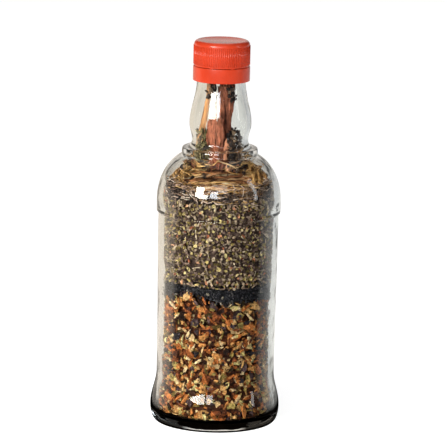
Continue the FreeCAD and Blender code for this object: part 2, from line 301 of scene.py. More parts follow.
# %% [markdown]
# ## Room, floor and lamps
#
# Clear glass shows whatever stands round it, so the room is part of the finish. Behind and beside
# the bottle it is pale, which gives the pale rims. In front it is dim, so that the herbs stay
# dark and clean behind the glass. The thick base shows the room high up at both sides, and looks
# nearly black because that part is dark. Four soft panes stand in front, from the left to the
# middle, like a window with bars, and one narrow pane stands on the right. Their mirror images
# are the white flecks on shoulder and heel. The floor is white to the camera and keeps the
# bottle's shadow. An image of a studio could light this too, but simple panes are easier to place.

# %% Build the room
def rays(tree):
    """The kinds of ray, and a mask for those that come by way of the glass."""
    kinds = add(tree, "ShaderNodeLightPath").outputs
    return kinds, maths(tree, "MAXIMUM", kinds["Is Glossy Ray"], kinds["Is Transmission Ray"])


def mix_colours(tree, factor, first, second):
    """The first colour where the factor is 0 and the second where it is 1."""
    return add(tree, "ShaderNodeMix", {0: factor, 6: first, 7: second}, data_type="RGBA").outputs[2]


world = bpy.data.worlds.new("room")
world.use_nodes = True
tree = world.node_tree
tree.nodes.clear()
direction = add(tree, "ShaderNodeTexCoord").outputs["Generated"]
along = add(tree, "ShaderNodeSeparateXYZ", {0: direction}).outputs
room_stops = [(0.0, (0.74, 0.66, 0.56)), (0.5, (0.95, 0.89, 0.82)), (1.0, (0.44, 0.45, 0.45))]
room_colour = ramp(tree, span(tree, along["X"], -0.7, 0.7), room_stops)
back = span(tree, along["Y"], -0.30, 0.45, 0.02, 1.0, "SMOOTHSTEP")
to_side = span(tree, maths(tree, "ABSOLUTE", along["X"]), 0.26, 0.38, 0.0, 0.96)
raised = span(tree, along["Z"], 0.05, 0.13)
not_dark = maths(tree, "SUBTRACT", 1.0, maths(tree, "MULTIPLY", to_side, raised))
room = vectors(tree, "SCALE", room_colour, maths(tree, "MULTIPLY", back, not_dark))
# The glass shows the room, but what lights the filling is a soft fill from the upper left in front.
key_side = add(tree, "ShaderNodeVectorMath", {0: direction, 1: (-0.75, -0.40, 0.55)}, operation="DOT_PRODUCT")
fill_light = span(tree, key_side.outputs["Value"], -0.45, 1.0, 0.03, 0.55)
kinds, by_glass = rays(tree)
fill_or_room = mix_colours(tree, by_glass, fill_light, room)
colour = mix_colours(tree, kinds["Is Camera Ray"], fill_or_room, (1, 1, 1, 1))
background = got(tree, "ShaderNodeBackground", {"Color": colour, "Strength": 1.0})
add(tree, "ShaderNodeOutputWorld", {"Surface": background})
scene.world = world

# %% The floor
# To the camera the floor is white with a soft shadow. In the glass it shows a glow painted on it:
# dark near the bottle as painted shade, and brighter to both sides and far behind as a painted lit backdrop.
floor_reach = 3.0
floor_white, tree = new_material("floor_white")
lit = got(tree, "ShaderNodeBsdfDiffuse", {"Color": (0.62, 0.62, 0.62, 1)})
glow = got(tree, "ShaderNodeEmission", {"Color": (1, 1, 1, 1), "Strength": 0.78})
to_camera = got(tree, "ShaderNodeAddShader", {0: lit, 1: glow})
spot_on_floor = add(tree, "ShaderNodeTexCoord").outputs["Object"]
place = add(tree, "ShaderNodeSeparateXYZ", {0: spot_on_floor}).outputs
# masks for the painted glow: none near the bottle, which is painted shade, and glow to both sides and far
# behind
left = span(tree, maths(tree, "MULTIPLY", place["X"], -1.0), 0.055, 0.080, 0.0, 0.90, "SMOOTHSTEP")
right_side = span(tree, place["X"], 0.055, 0.080, 0.0, 0.66, "SMOOTHSTEP")
beside = span(tree, place["Y"], -0.03, 0.02, shape="SMOOTHSTEP")
sides = maths(tree, "MULTIPLY", maths(tree, "MAXIMUM", left, right_side), beside)
far_back = maths(tree, "MAXIMUM", span(tree, place["Y"], 0.08, 0.16, shape="SMOOTHSTEP"), sides)
backdrop_stops = [(0.0, (0.78, 0.70, 0.58)), (0.40, (0.90, 0.81, 0.71)), (0.60, (0.84, 0.84, 0.80)),
                  (1.0, (0.56, 0.57, 0.57))]
backdrop = ramp(tree, span(tree, place["X"], -0.4, 0.4), backdrop_stops)
painted_glow_in_glass = got(tree, "ShaderNodeEmission", {"Color": backdrop, "Strength": far_back})
kinds, by_glass = rays(tree)
finish_material(tree, got(tree, "ShaderNodeMixShader", {0: by_glass, 1: to_camera, 2: painted_glow_in_glass}))
corners = [(x * floor_reach, y * floor_reach, 0) for x, y in ((-1, -1), (1, -1), (1, 1), (-1, 1))]
floor = new_piece("floor", corners, [(0, 1, 2, 3)], floor_white, smooth=False)

# %% The panes
pane_distance = 1.6
pane_aim = Vector((0, 0, 0.1))


def pane(name, azimuth, elevation, wide, high, brightness, colour):
    """A soft rectangular lamp aimed at the bottle. Azimuth 0 is the camera's side, + is to the right."""
    lamp = bpy.data.lights.new(name, "AREA")
    lamp.shape = "RECTANGLE"
    lamp.size = 2 * pane_distance * math.tan(math.radians(wide) / 2)
    lamp.size_y = 2 * pane_distance * math.tan(math.radians(high) / 2)
    lamp.energy = brightness * math.pi * lamp.size * lamp.size_y
    lamp.color = colour
    side, rise = math.radians(azimuth), math.radians(elevation)
    away = Vector((math.sin(side) * math.cos(rise), -math.cos(side) * math.cos(rise), math.sin(rise)))
    obj = bpy.data.objects.new(name, lamp)
    facing = away.to_track_quat("Z", "Y").to_matrix().to_4x4()
    obj.matrix_world = Matrix.Translation(pane_aim + away * pane_distance) @ facing
    scene.collection.objects.link(obj)
    print(f"{name}: {lamp.size:.2f} x {lamp.size_y:.2f} m, {lamp.energy:.1f} W")


pane("window_left", -37, 19, 17, 20, 22.0, (1.0, 0.97, 0.90))
pane("window_low", -24, 13, 9, 9, 16.0, (1.0, 0.96, 0.88))
pane("window_middle", -10, 17, 13, 14, 9.0, (0.86, 0.93, 1.0))
pane("window_soft", 4, 30, 24, 16, 1.6, (0.95, 0.97, 1.0))
pane("window_right", 74, 20, 6, 36, 3.5, (1.0, 1.0, 1.0))

# %% [markdown]
# ## The shape of the glass
#
# The bottle is blown in a mould and round, so half its outline says everything: heel, panel, belt,
# domed shoulder, collar ring, lantern neck and plain mouth. Such an outline could be spun with the
# Screw modifier. Here plain code lists the outline's points, because the inside is needed again:
# it tells the fillings how far out they may lie.

# %% The outline's sizes
_, glass_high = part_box("glass_bottle")
foot_radius = glass_high.x
lip_height = glass_high.z
stand_radius, stand_width, punt_depth = foot_radius - 3.4 * mm, 2.6 * mm, 2.4 * mm
waist_radius, waist_height, foot_height = foot_radius - 3.1 * mm, 27.0 * mm, 8.5 * mm
ledge_radius, ledge_height = waist_radius + 0.6 * mm, 112.6 * mm
belt_radius, belt_low, belt_top = ledge_radius + 0.95 * mm, 113.8 * mm, 120.0 * mm
shoulder_centre, shoulder_rise = 12.85 * mm, 26.0 * mm
collar_radius, collar_thickness = 19.9 * mm, 3.6 * mm
neck_foot_radius, bulb_radius = 14.9 * mm, 16.4 * mm
neck_top_radius, finish_radius, bore_radius = 12.9 * mm, 12.4 * mm, 10.7 * mm
body_wall, heel_wall, neck_wall = 2.7 * mm, 3.3 * mm, 2.15 * mm
floor_thickness, floor_corner = 4.6 * mm, 4.0 * mm
throat_flare, lip_round = 2.7 * mm, 0.7 * mm
finish_foot = lip_height - 19.8 * mm
bulb_middle = finish_foot - 22.7 * mm
neck_foot = bulb_middle - 8.5 * mm
collar_top = neck_foot - 4.2 * mm
collar_low = collar_top - collar_thickness
shoulder_reach = belt_radius - shoulder_centre
print(f"neck from {neck_foot / mm:.1f} to {finish_foot / mm:.1f} mm, lip at {lip_height / mm:.1f} mm")


# %% Curves that the outline is made of
def ease(low, high, count=20):
    """A smooth S between two (radius, height) points, upright at both ends."""
    share = np.linspace(0, 1, count)
    radius = high[0] + (low[0] - high[0]) * (1 + np.cos(np.pi * share)) / 2
    return np.column_stack([radius, low[1] + (high[1] - low[1]) * share])


def arc(middle, across, rise, start, end, count=16):
    """Part of an ellipse, between two angles in radians."""
    angle = np.linspace(start, end, count)
    return np.column_stack([middle[0] + across * np.cos(angle), middle[1] + rise * np.sin(angle)])


def bend(start, towards, end, count=8):
    """A soft corner from start to end that leans towards a third point."""
    share = np.linspace(0, 1, count)[:, None]
    first, pull, last = np.array(start), np.array(towards), np.array(end)
    return (1 - share) ** 2 * first + 2 * share * (1 - share) * pull + share**2 * last


def join(*stretches):
    """All stretches in a row, without points that repeat."""
    points = np.vstack([np.atleast_2d(stretch) for stretch in stretches])
    keep = np.ones(len(points), bool)
    keep[1:] = np.linalg.norm(np.diff(points, axis=0), axis=1) > 0.02 * mm
    return points[keep]


def shoulder_angle(radius, thinner=0.0):
    """Angle on the shoulder's ellipse at which it comes in to this radius."""
    return math.acos((radius - shoulder_centre) / (shoulder_reach - thinner))


# %% The outside and the inside
stand_edge = (stand_radius - stand_width, 0)
collar_edge, collar_inner = collar_top - 0.6 * mm, collar_radius - 1.2 * mm
lip_edge = lip_height - lip_round
outside = join(
    bend((0, punt_depth), (stand_radius * 0.62, punt_depth), stand_edge, 12),
    arc((stand_radius, foot_height), foot_radius - stand_radius, foot_height, -math.pi / 2, 0),
    ease((foot_radius, foot_height), (waist_radius, waist_height)),
    ease((waist_radius, waist_height), (ledge_radius, ledge_height), 24),
    ease((ledge_radius, ledge_height), (belt_radius, belt_low), 8),
    np.column_stack([np.full(4, belt_radius), np.linspace(belt_low, belt_top, 4)]),
    arc((shoulder_centre, belt_top), shoulder_reach, shoulder_rise, 0, shoulder_angle(collar_radius), 28),
    bend((collar_radius, collar_low), (collar_radius + 0.5 * mm, collar_low + 1.5 * mm),
         (collar_radius, collar_edge)),
    bend((collar_radius, collar_edge), (collar_radius, collar_top), (collar_inner, collar_top), 6),
    bend((collar_inner, collar_top), (neck_foot_radius, collar_top), (neck_foot_radius, neck_foot), 12),
    ease((neck_foot_radius, neck_foot), (bulb_radius, bulb_middle), 14),
    ease((bulb_radius, bulb_middle), (neck_top_radius, finish_foot), 24),
    (finish_radius, finish_foot),
    bend((finish_radius, lip_edge), (finish_radius, lip_height), (finish_radius - lip_round, lip_height), 5),
)

foot_inner, waist_inner = foot_radius - heel_wall, waist_radius - body_wall
ledge_inner, inner_ledge = ledge_radius - body_wall, ledge_height - 3.1 * mm
neck_inner, bulb_inner = neck_foot_radius - neck_wall, bulb_radius - neck_wall
floor_edge, floor_bend = foot_inner - floor_corner, floor_thickness + floor_corner
throat = shoulder_angle(neck_inner + throat_flare, body_wall)
dome = arc((shoulder_centre, belt_top), shoulder_reach - body_wall, shoulder_rise - body_wall, 0, throat, 28)
inside = join(
    (0, floor_thickness),
    (foot_inner * 0.5, floor_thickness),
    arc((floor_edge, floor_bend), floor_corner, floor_corner, -math.pi / 2, 0, 10),
    ease((foot_inner, floor_bend), (waist_inner, waist_height)),
    ease((waist_inner, waist_height), (ledge_inner, inner_ledge), 24),
    ease((ledge_inner, inner_ledge), (belt_radius - body_wall, belt_top), 10),
    dome,
    bend(dome[-1], (neck_inner + 0.3 * mm, neck_foot - 4.5 * mm), (neck_inner, neck_foot), 10),
    ease((neck_inner, neck_foot), (bulb_inner, bulb_middle), 14),
    ease((bulb_inner, bulb_middle), (bore_radius, finish_foot), 24),
    (bore_radius, lip_height),
)
climbing = inside[1:]
print("outline:", len(outside), "points outside,", len(inside), "inside")


def room_at(height):
    """Inner radius of the glass at these heights."""
    return np.interp(height, climbing[:, 1], climbing[:, 0])


# %% [markdown]
# ## Clear glass
#
# Real bottle glass has an index of refraction of about 1.5 and a faint grey-green tint. It needs
# two real surfaces, because the pale rim down each side is the thickness of the wall seen edge
# on. A thin shell with no thickness would be faster, but its rims would be missing. Shadow rays
# pass through as if it were a pane, or the herbs inside would stay dark.

# %% Glass material
def glass_material():
    """Clear glass with a faint tint, slightly uneven, which lets light for shadows straight through."""
    material, tree = new_material("bottle_glass")
    place = add(tree, "ShaderNodeTexCoord").outputs["Object"]
    pitting = maths(tree, "MULTIPLY", cloud(tree, place, 420.0), 0.07)
    relief = maths(tree, "ADD", cloud(tree, place, 100.0, 1.5), pitting)
    glass = got(tree, "ShaderNodeBsdfPrincipled", {
        "Base Color": (0.965, 0.975, 0.962, 1), "Roughness": 0.0, "IOR": 1.5, "Transmission Weight": 1.0,
        "Normal": bumps(tree, relief, 0.4, 0.6 * mm),
    })
    clear = got(tree, "ShaderNodeBsdfTransparent", {"Color": (0.93, 0.94, 0.92, 1)})
    shadow = add(tree, "ShaderNodeLightPath").outputs["Is Shadow Ray"]
    finish_material(tree, got(tree, "ShaderNodeMixShader", {0: shadow, 1: glass, 2: clear}))
    return material


bottle_glass = glass_material()

# %% Glass body
# The inside of a moulded bottle is never as true as the mould's outside, so it wanders a little.
wander = 0.10 * mm
bottle = lathe("bottle_glass", np.vstack([outside, inside[::-1]]), 144, bottle_glass)
points = read_points(bottle.data)
radius = np.hypot(points[:, 0], points[:, 1])
is_inner = radius < room_at(points[:, 2]) + 0.4 * mm
is_inner &= points[:, 2] > floor_thickness - 0.01 * mm
stretch = points * np.array([1.0, 1.0, 0.35])
shift = np.where(is_inner & (radius > 1 * mm), soft_noise(stretch, 11 * mm, 2) * wander, 0.0)
points[:, :2] *= (1 + shift / np.maximum(radius, 1 * mm))[:, None]
write_points(bottle.data, points)
face_outwards(bottle)
crease(bottle, 40)
hand_over(bottle, "bottle_glass", "glass_bottle")

# %% [markdown]
# ## A shader group for dry plant matter
#
# Bark, leaf, vine and seed all share one thing: they are dry and fibrous, with streaks along the
# grain, paler ridges and dark pits. One group makes that pattern and is placed in each material
# with its own grain. It gives out a mask for the colour and a height for the bump. A picture of
# bark would be quicker, but it could not follow curled strips and wavy vine.

# %% The grain group
def grain_group():
    """Fine fibre over coarse blotches: a mask for the colour and a height for the bump."""
    group = bpy.data.node_groups.new("dry grain", "ShaderNodeTree")
    face = group.interface
    face.new_socket("Vector", in_out="INPUT", socket_type="NodeSocketVector")
    for name, value in (("Fibre", 400.0), ("Blotch", 120.0), ("Depth", 0.6)):
        face.new_socket(name, in_out="INPUT", socket_type="NodeSocketFloat").default_value = value
    for name in ("Mask", "Height"):
        face.new_socket(name, in_out="OUTPUT", socket_type="NodeSocketFloat")
    given = add(group, "NodeGroupInput").outputs
    fibre = cloud(group, given["Vector"], given["Fibre"], 3.0, Roughness=0.6)
    blotch = cloud(group, given["Vector"], given["Blotch"], Distortion=0.6)
    both = maths(group, "ADD", maths(group, "MULTIPLY", fibre, given["Depth"]), blotch)
    middle = maths(group, "ADD", maths(group, "MULTIPLY", given["Depth"], 0.5), 0.5)
    spread = maths(group, "MULTIPLY", maths(group, "ADD", given["Depth"], 1.0), 0.15)
    above_mean = maths(group, "DIVIDE", maths(group, "SUBTRACT", both, middle), spread)
    add(group, "NodeGroupOutput", {"Mask": span(group, above_mean, -1.0, 1.0), "Height": fibre})
    return group


dry_grain = grain_group()
brightest = (0.8, 0.8, 0.8)  # no dry plant is paler than this


def attribute(tree, name):
    """A number that the mesh carries on its points."""
    return add(tree, "ShaderNodeAttribute", attribute_name=name, attribute_type="GEOMETRY").outputs["Fac"]


def plant_material(name, stops, fibre=900.0, blotch=260.0, depth=0.6, squash=None, roughness=0.75,
                   lift=0.25 * mm, dark=0.35, light=1.85, shine=0.2):
    """Dry matter: a tint for each piece picks the colour, and the grain darkens and lifts it."""
    material, tree = new_material(name)
    tint = attribute(tree, "tint")
    if squash:
        # strips and strands carry their own lengths in metres; the grain is drawn out along them
        u = maths(tree, "MULTIPLY", attribute(tree, "along"), squash)
        w = maths(tree, "MULTIPLY", tint, 0.07)
        vector = got(tree, "ShaderNodeCombineXYZ", {0: u, 1: attribute(tree, "across"), 2: w})
    else:
        vector = add(tree, "ShaderNodeTexCoord").outputs["Object"]
    grain = add(tree, "ShaderNodeGroup", node_tree=dry_grain)
    tree.links.new(vector, grain.inputs["Vector"])
    for key, value in (("Fibre", fibre), ("Blotch", blotch), ("Depth", depth)):
        grain.inputs[key].default_value = value
    shade = span(tree, grain.outputs["Mask"], low=dark, high=light)
    shaded = vectors(tree, "MINIMUM", vectors(tree, "SCALE", ramp(tree, tint, stops), shade), brightest)
    finish_material(tree, got(tree, "ShaderNodeBsdfPrincipled", {
        "Base Color": shaded, "Roughness": roughness, "Specular IOR Level": shine,
        "Normal": bumps(tree, grain.outputs["Height"], 0.8, lift),
    }))
    return material


# %% [markdown]
# ## The screw cap and its band
#
# The cap is moulded in a glossy red plastic, with fine upright ribs for grip, and a band below it
# that tears off along a slit when the bottle is first opened. The shell is turned like the glass.
# The ribs repeat ninety times, so Geometry Nodes place them: points on a circle, one rounded rib
# turned outwards on each, then all made real. An Array modifier round an empty would do it too,
# but the tree states the count and the radius as inputs.

# %% Red plastic
def cap_material():
    """Glossy red plastic, a little cloudy."""
    material, tree = new_material("cap_red")
    place = add(tree, "ShaderNodeTexCoord").outputs["Object"]
    soft = cloud(tree, place, 90.0)
    colour = ramp(tree, soft, [(0.3, (0.480, 0.034, 0.009)), (0.7, (0.575, 0.049, 0.016))])
    finish_material(tree, got(tree, "ShaderNodeBsdfPrincipled", {
        "Base Color": colour, "Roughness": span(tree, soft, low=0.17, high=0.30), "IOR": 1.49,
        "Normal": bumps(tree, cloud(tree, place, 1900.0), 0.25, 0.05 * mm),
    }))
    return material


cap_red = cap_material()

# %% Geometry Nodes for the ribs
def new_tree(name, *sockets):
    """A Geometry Nodes tree with a geometry output and the named inputs, each with a type and a value."""
    tree = bpy.data.node_groups.new(name, "GeometryNodeTree")
    tree.interface.new_socket("Geometry", in_out="OUTPUT", socket_type="NodeSocketGeometry")
    for label, kind, value in sockets:
        made = tree.interface.new_socket(label, in_out="INPUT", socket_type=f"NodeSocket{kind}")
        if value is not None:
            made.default_value = value
    return tree, add(tree, "NodeGroupInput").outputs


def finish_tree(tree, geometry, material):
    """Makes all copies real, gives them their material and sends them to the output."""
    real = got(tree, "GeometryNodeRealizeInstances", {0: geometry})
    painted = got(tree, "GeometryNodeSetMaterial", {"Geometry": real, "Material": material})
    add(tree, "NodeGroupOutput", {0: painted})
    return tree


def run_tree(tree, name, start=None, **values):
    """Puts the tree on an object, reads the result as a plain mesh and drops the modifier."""
    start = start or bpy.data.objects.new(name, bpy.data.meshes.new(name))
    if not start.users_collection:
        scene.collection.objects.link(start)
    modifier = start.modifiers.new("nodes", "NODES")
    modifier.node_group = tree
    sockets = {item.name: item.identifier for item in tree.interface.items_tree if item.in_out == "INPUT"}
    for label, value in values.items():
        modifier[sockets[label.replace("_", " ")]] = value
    evaluated = start.evaluated_get(bpy.context.evaluated_depsgraph_get())
    mesh = bpy.data.meshes.new_from_object(evaluated)
    start.modifiers.remove(modifier)
    old, start.data = start.data, mesh
    mesh.name = start.name = name
    bpy.data.meshes.remove(old)
    return start


def rib_tree():
    """Rounded ribs that stand upright on a circle, each turned outwards."""
    tree, given = new_tree(
        "ribs round a cap",
        ("Count", "Int", 90), ("Radius", "Float", 15 * mm), ("Foot", "Float", 0.0),
        ("Length", "Float", 10 * mm), ("Width", "Float", 0.5 * mm), ("Material", "Material", None),
    )
    circle = got(tree, "GeometryNodeMeshCircle", {"Vertices": given["Count"], "Radius": given["Radius"]})
    place = got(tree, "GeometryNodeInputPosition")
    outward = got(tree, "FunctionNodeAlignRotationToVector", {"Vector": place}, axis="X")
    rod = got(tree, "GeometryNodeMeshCylinder",
              {"Vertices": 8, "Radius": given["Width"], "Depth": given["Length"]})
    slim = got(tree, "GeometryNodeTransform", {"Geometry": rod, "Scale": (0.5, 0.5, 1.0)})
    rounded = got(tree, "GeometryNodeSetShadeSmooth", {"Geometry": slim})
    ribs = got(tree, "GeometryNodeInstanceOnPoints",
               {"Points": circle, "Instance": rounded, "Rotation": outward})
    height = got(tree, "ShaderNodeCombineXYZ", {2: given["Foot"]})
    raised = got(tree, "GeometryNodeTransform", {"Geometry": ribs, "Translation": height})
    return finish_tree(tree, raised, given["Material"])


# %% The cap
cap_low, cap_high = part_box("screw_cap")
band_low, band_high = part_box("tamper_band")
band_foot, band_radius = band_low.z, band_high.x
cap_radius = band_radius - 0.3 * mm
cap_foot, cap_top = cap_low.z, cap_high.z
cap_inside, cap_corner = finish_radius + 0.35 * mm, 2.3 * mm
cap_seat = lip_height + 0.02 * mm
foot_round, top_dip = 0.25 * mm, 0.3 * mm
cap_outline = join(
    (cap_inside, cap_foot),
    bend((cap_radius - foot_round, cap_foot), (cap_radius, cap_foot), (cap_radius, cap_foot + foot_round), 4),
    (cap_radius, cap_foot + 0.7 * mm), (cap_radius, cap_top - cap_corner - 0.8 * mm),
    arc((cap_radius - cap_corner, cap_top - cap_corner), cap_corner, cap_corner, 0, math.pi * 0.42, 10),
    bend((cap_radius - 1.75 * mm, cap_top - 0.1 * mm), (cap_radius - 2.1 * mm, cap_top),
         (cap_radius - 2.7 * mm, cap_top - 0.12 * mm), 5),
    (cap_radius - 3.2 * mm, cap_top - top_dip), (0, cap_top - top_dip),
)
cap = lathe("cap_shell", np.vstack([[(0, cap_seat), (cap_inside, cap_seat)], cap_outline]), 180, cap_red)
face_outwards(cap)
crease(cap, 35)
hand_over(cap, "cap_red", "screw_cap")

# %% The ribs
rib_foot, rib_top = cap_foot + 0.8 * mm, cap_top - 2.6 * mm
ribs = run_tree(rib_tree(), "cap_ribs", Count=90, Radius=cap_radius - 0.02 * mm, Length=rib_top - rib_foot,
                Foot=(rib_foot + rib_top) / 2, Width=0.56 * mm, Material=cap_red)
hand_over(ribs, "cap_red")

# %% The band
band_inside = neck_top_radius + 0.35 * mm
round_edge = 0.3 * mm
band_top = cap_foot - 0.25 * mm
band_flat = band_radius - round_edge
band_outline = join(
    (band_inside, band_foot),
    bend((band_flat, band_foot), (band_radius, band_foot), (band_radius, band_foot + round_edge), 5),
    bend((band_radius, band_top - round_edge), (band_radius, band_top), (band_flat, band_top), 5),
    (band_inside, band_top), (band_inside, band_foot),
)
band = lathe("tear_band", band_outline, 144, cap_red)
face_outwards(band)
crease(band, 40)
hand_over(band, "cap_red", "tamper_band")

# %% The bridges that hold the band to the cap
bridge_count, bridge_half_width = 8, 0.045  # the half width is an angle in radians
bridge_points, bridge_faces = [], []
for number in range(bridge_count):
    middle = 2 * math.pi * (number + 0.5) / bridge_count
    base = len(bridge_points)
    for height in (band_top - 0.1 * mm, cap_foot + 0.1 * mm):
        for turn, reach in ((-1, 0.8), (1, 0.8), (1, 0.05), (-1, 0.05)):
            angle, out = middle + turn * bridge_half_width, cap_radius - reach * mm
            bridge_points.append((out * math.cos(angle), out * math.sin(angle), height))
    bridge_faces += [[base + corner for corner in loop] for loop in
                     ((0, 1, 2, 3), (7, 6, 5, 4), (0, 4, 5, 1), (1, 5, 6, 2), (2, 6, 7, 3), (3, 7, 4, 0))]
bridges = face_outwards(new_piece("tear_bridges", bridge_points, bridge_faces, cap_red, smooth=False))
hand_over(bridges, "cap_red")

# %% [markdown]
# ## How a bed of loose things is built
#
# Through the glass only the outer few millimetres of a bed are seen. So each bed is a dark core a
# little smaller than the space, with thousands of real, separate bits between core and glass. The
# core's darkness is painted shade for the depths of the heap between the bits. A particle system or
# a physics simulation could drop them in, but particles are lost on export and a simulation of ten
# thousand crumbs takes too long. Geometry Nodes scatter the bits on a carrier surface just inside
# the wall, each turned, scaled and tinted by chance with a fixed seed. Then whatever pokes into the
# wall is pressed flat against it, as the weight of the filling would do.

# %% The beds' levels
herb_tilt = math.radians(10.0)
herb_slope = math.tan(herb_tilt)
herb_middle = belt_top + 6.4 * mm


def chips_level(x, y):
    """Top of the chips: nearly level, with a heap on the front left."""
    x, y = x / mm, y / mm
    heap = 5.0 * np.exp(-((x + 13.0) ** 2 + (y + 24.0) ** 2) / 11.0**2)
    return (68.5 + 1.1 * np.cos(x / 6.1 + 0.6) * np.cos(y / 7.3 - 0.4) + heap) * mm


def seeds_level(x, y):
    """Top of the seeds."""
    x, y = x / mm, y / mm
    return (77.4 + 0.8 * np.sin(x / 8.3 + 0.5) * np.cos(y / 6.9 + 1.1)) * mm


def herb_level(x, y):
    """The herb slopes down towards the front."""
    return herb_middle + herb_slope * y + 0.25 * mm * np.cos(x / mm / 5.2) * np.sin(y / mm / 5.9)


def floor_level(x, y):
    """Just above the glass floor."""
    return np.full_like(x, floor_thickness + 0.2 * mm)


def bed(name, low, high, inset, rows, segments, closed, cap_inset=0.0, material=None):
    """A bed's side, drawn in from the glass; closed adds its top and bottom."""
    angle = np.linspace(0, 2 * np.pi, segments, endpoint=False)
    cos, sin = np.cos(angle), np.sin(angle)
    levels = []
    for level, sign in ((low, 1), (high, -1)):
        radius = np.full(segments, belt_radius - body_wall)
        for _ in range(6):
            height = level(radius * cos, radius * sin) + sign * cap_inset
            radius = room_at(height) - inset
        levels.append(height)
    rings = []
    for share in np.linspace(0, 1, rows):
        height = levels[0] + (levels[1] - levels[0]) * share
        radius = room_at(height) - inset
        rings.append(np.column_stack([radius * cos, radius * sin, height]))
    if closed:
        for level, sign, edge, at_end in ((low, 1, rings[0], False), (high, -1, rings[-1], True)):
            for share in (0.82, 0.6, 0.36, 0.14):
                flat = edge[:, :2] * share
                height = level(flat[:, 0], flat[:, 1]) + sign * cap_inset
                ring = np.column_stack([flat, height])
                rings.append(ring) if at_end else rings.insert(0, ring)
    return new_piece(name, np.vstack(rings), tube_faces(len(rings), segments, closed), material)


def roughen(obj, size, depth, seed):
    """Pushes the surface in and out along its normals."""
    points = read_points(obj.data)
    normals = np.empty(len(points) * 3)
    obj.data.vertices.foreach_get("normal", normals)
    amount = soft_noise(points, size, seed) + 0.5 * soft_noise(points, size / 2.3, seed + 1)
    write_points(obj.data, points + normals.reshape(-1, 3) * (amount * depth)[:, None])


# %% [markdown]
# ## The bits themselves
#
# A heap looks real when no two neighbours match, so each kind of bit has several shapes: jagged
# flakes of leaf, chunky chips of bark, bits of stalk, round seeds. Each shape has only a few dozen
# faces, because it is repeated hundreds of times. They are drawn by small functions from a length,
# a width and a thickness, with seeded chance for the rest.

# %% Shapes of bits
def flake(name, rng, length, width, thickness, sides=8, curl=0.5, jagged=0.5):
    """A thin closed flake with a ragged rim, curled across its length."""
    angle = np.linspace(0, 2 * np.pi, sides, endpoint=False) + rng.uniform(-0.25, 0.25, sides)
    reach = 1 - rng.uniform(0, jagged, sides)
    x, y = length / 2 * reach * np.cos(angle), width / 2 * reach * np.sin(angle)
    x, y = np.append(x, rng.uniform(-0.1, 0.1) * length), np.append(y, 0.0)
    dish = curl * width * ((y / width) ** 2 * 2 - 0.25) + curl * 0.3 * length * (x / length) ** 2
    dish += rng.uniform(-0.5, 0.5, sides + 1) * thickness
    top = np.column_stack([x, y, dish + thickness / 2])
    low = np.column_stack([x * 0.96, y * 0.96, dish - thickness / 2])
    count = sides + 1
    faces = []
    for side in range(sides):
        after = (side + 1) % sides
        faces += [(side, after, sides), (count + after, count + side, count + sides),
                  (side, count + side, count + after, after)]
    return face_outwards(new_piece(name, np.vstack([top, low]), faces, smooth=False))


def chip(name, rng, length, width, thickness):
    """A chunky splinter: a box of three lengths with every corner knocked about."""
    points = []
    for step, x in enumerate(np.linspace(-0.5, 0.5, 4)):
        narrow = 1.0 if 0 < step < 3 else rng.uniform(0.35, 0.85)
        bow = rng.uniform(-0.12, 0.12)
        for y, z in ((-0.5, -0.5), (0.5, -0.5), (0.5, 0.5), (-0.5, 0.5)):
            jog = rng.uniform(-0.16, 0.16, 3)
            points.append(((x + jog[0] * 0.5) * length, (y * narrow + jog[1] + bow) * width,
                           (z * narrow + jog[2] + bow) * thickness))
    return face_outwards(new_piece(name, points, tube_faces(4, 4), smooth=False))


def stalk(name, rng, length, thickness, sides=5):
    """A short bit of stalk, bowed and broken off at both ends."""
    points = []
    bow = rng.uniform(-0.12, 0.12) * length
    for step in range(4):
        share = step / 3
        radius = thickness / 2 * rng.uniform(0.8, 1.15)
        for side in range(sides):
            angle = 2 * math.pi * side / sides
            break_off = rng.uniform(-0.25, 0.25) * thickness * (step in (0, 3))
            sag = bow * (share - share**2) * 4
            points.append(((share - 0.5) * length + break_off, radius * math.cos(angle) + sag,
                           radius * math.sin(angle)))
    return face_outwards(new_piece(name, points, tube_faces(4, sides), smooth=False))


def seed(name, rng, length, width):
    """A small angular seed: a squashed ball of few faces."""
    edit = bmesh.new()
    bmesh.ops.create_icosphere(edit, subdivisions=1, radius=0.5)
    for vertex in edit.verts:
        x, y, z = vertex.co
        vertex.co = Vector((x * length, y * width, z * width)) * rng.uniform(0.85, 1.1)
    obj = new_piece(name, (), ())
    edit.to_mesh(obj.data)
    edit.free()
    obj.data.shade_smooth()
    return obj


def family(name, maker, count, seed_number, *sizes, **options):
    """A collection with several shapes of one kind. Each size is a (least, most) pair in millimetres."""
    rng = np.random.default_rng(seed_number)
    shapes = bpy.data.collections.new(name)
    for number in range(count):
        drawn = [rng.uniform(least, most) * mm for least, most in sizes]
        shape = maker(f"{name}_{number}", rng, *drawn, **options)
        scene.collection.objects.unlink(shape)
        shapes.objects.link(shape)
    return shapes


# %% The scattering tree
def noted(tree, geometry, name, value, domain="POINT"):
    """The geometry with a number stored on it under a name."""
    return got(tree, "GeometryNodeStoreNamedAttribute", {"Geometry": geometry, "Name": name, "Value": value},
               data_type="FLOAT", domain=domain)


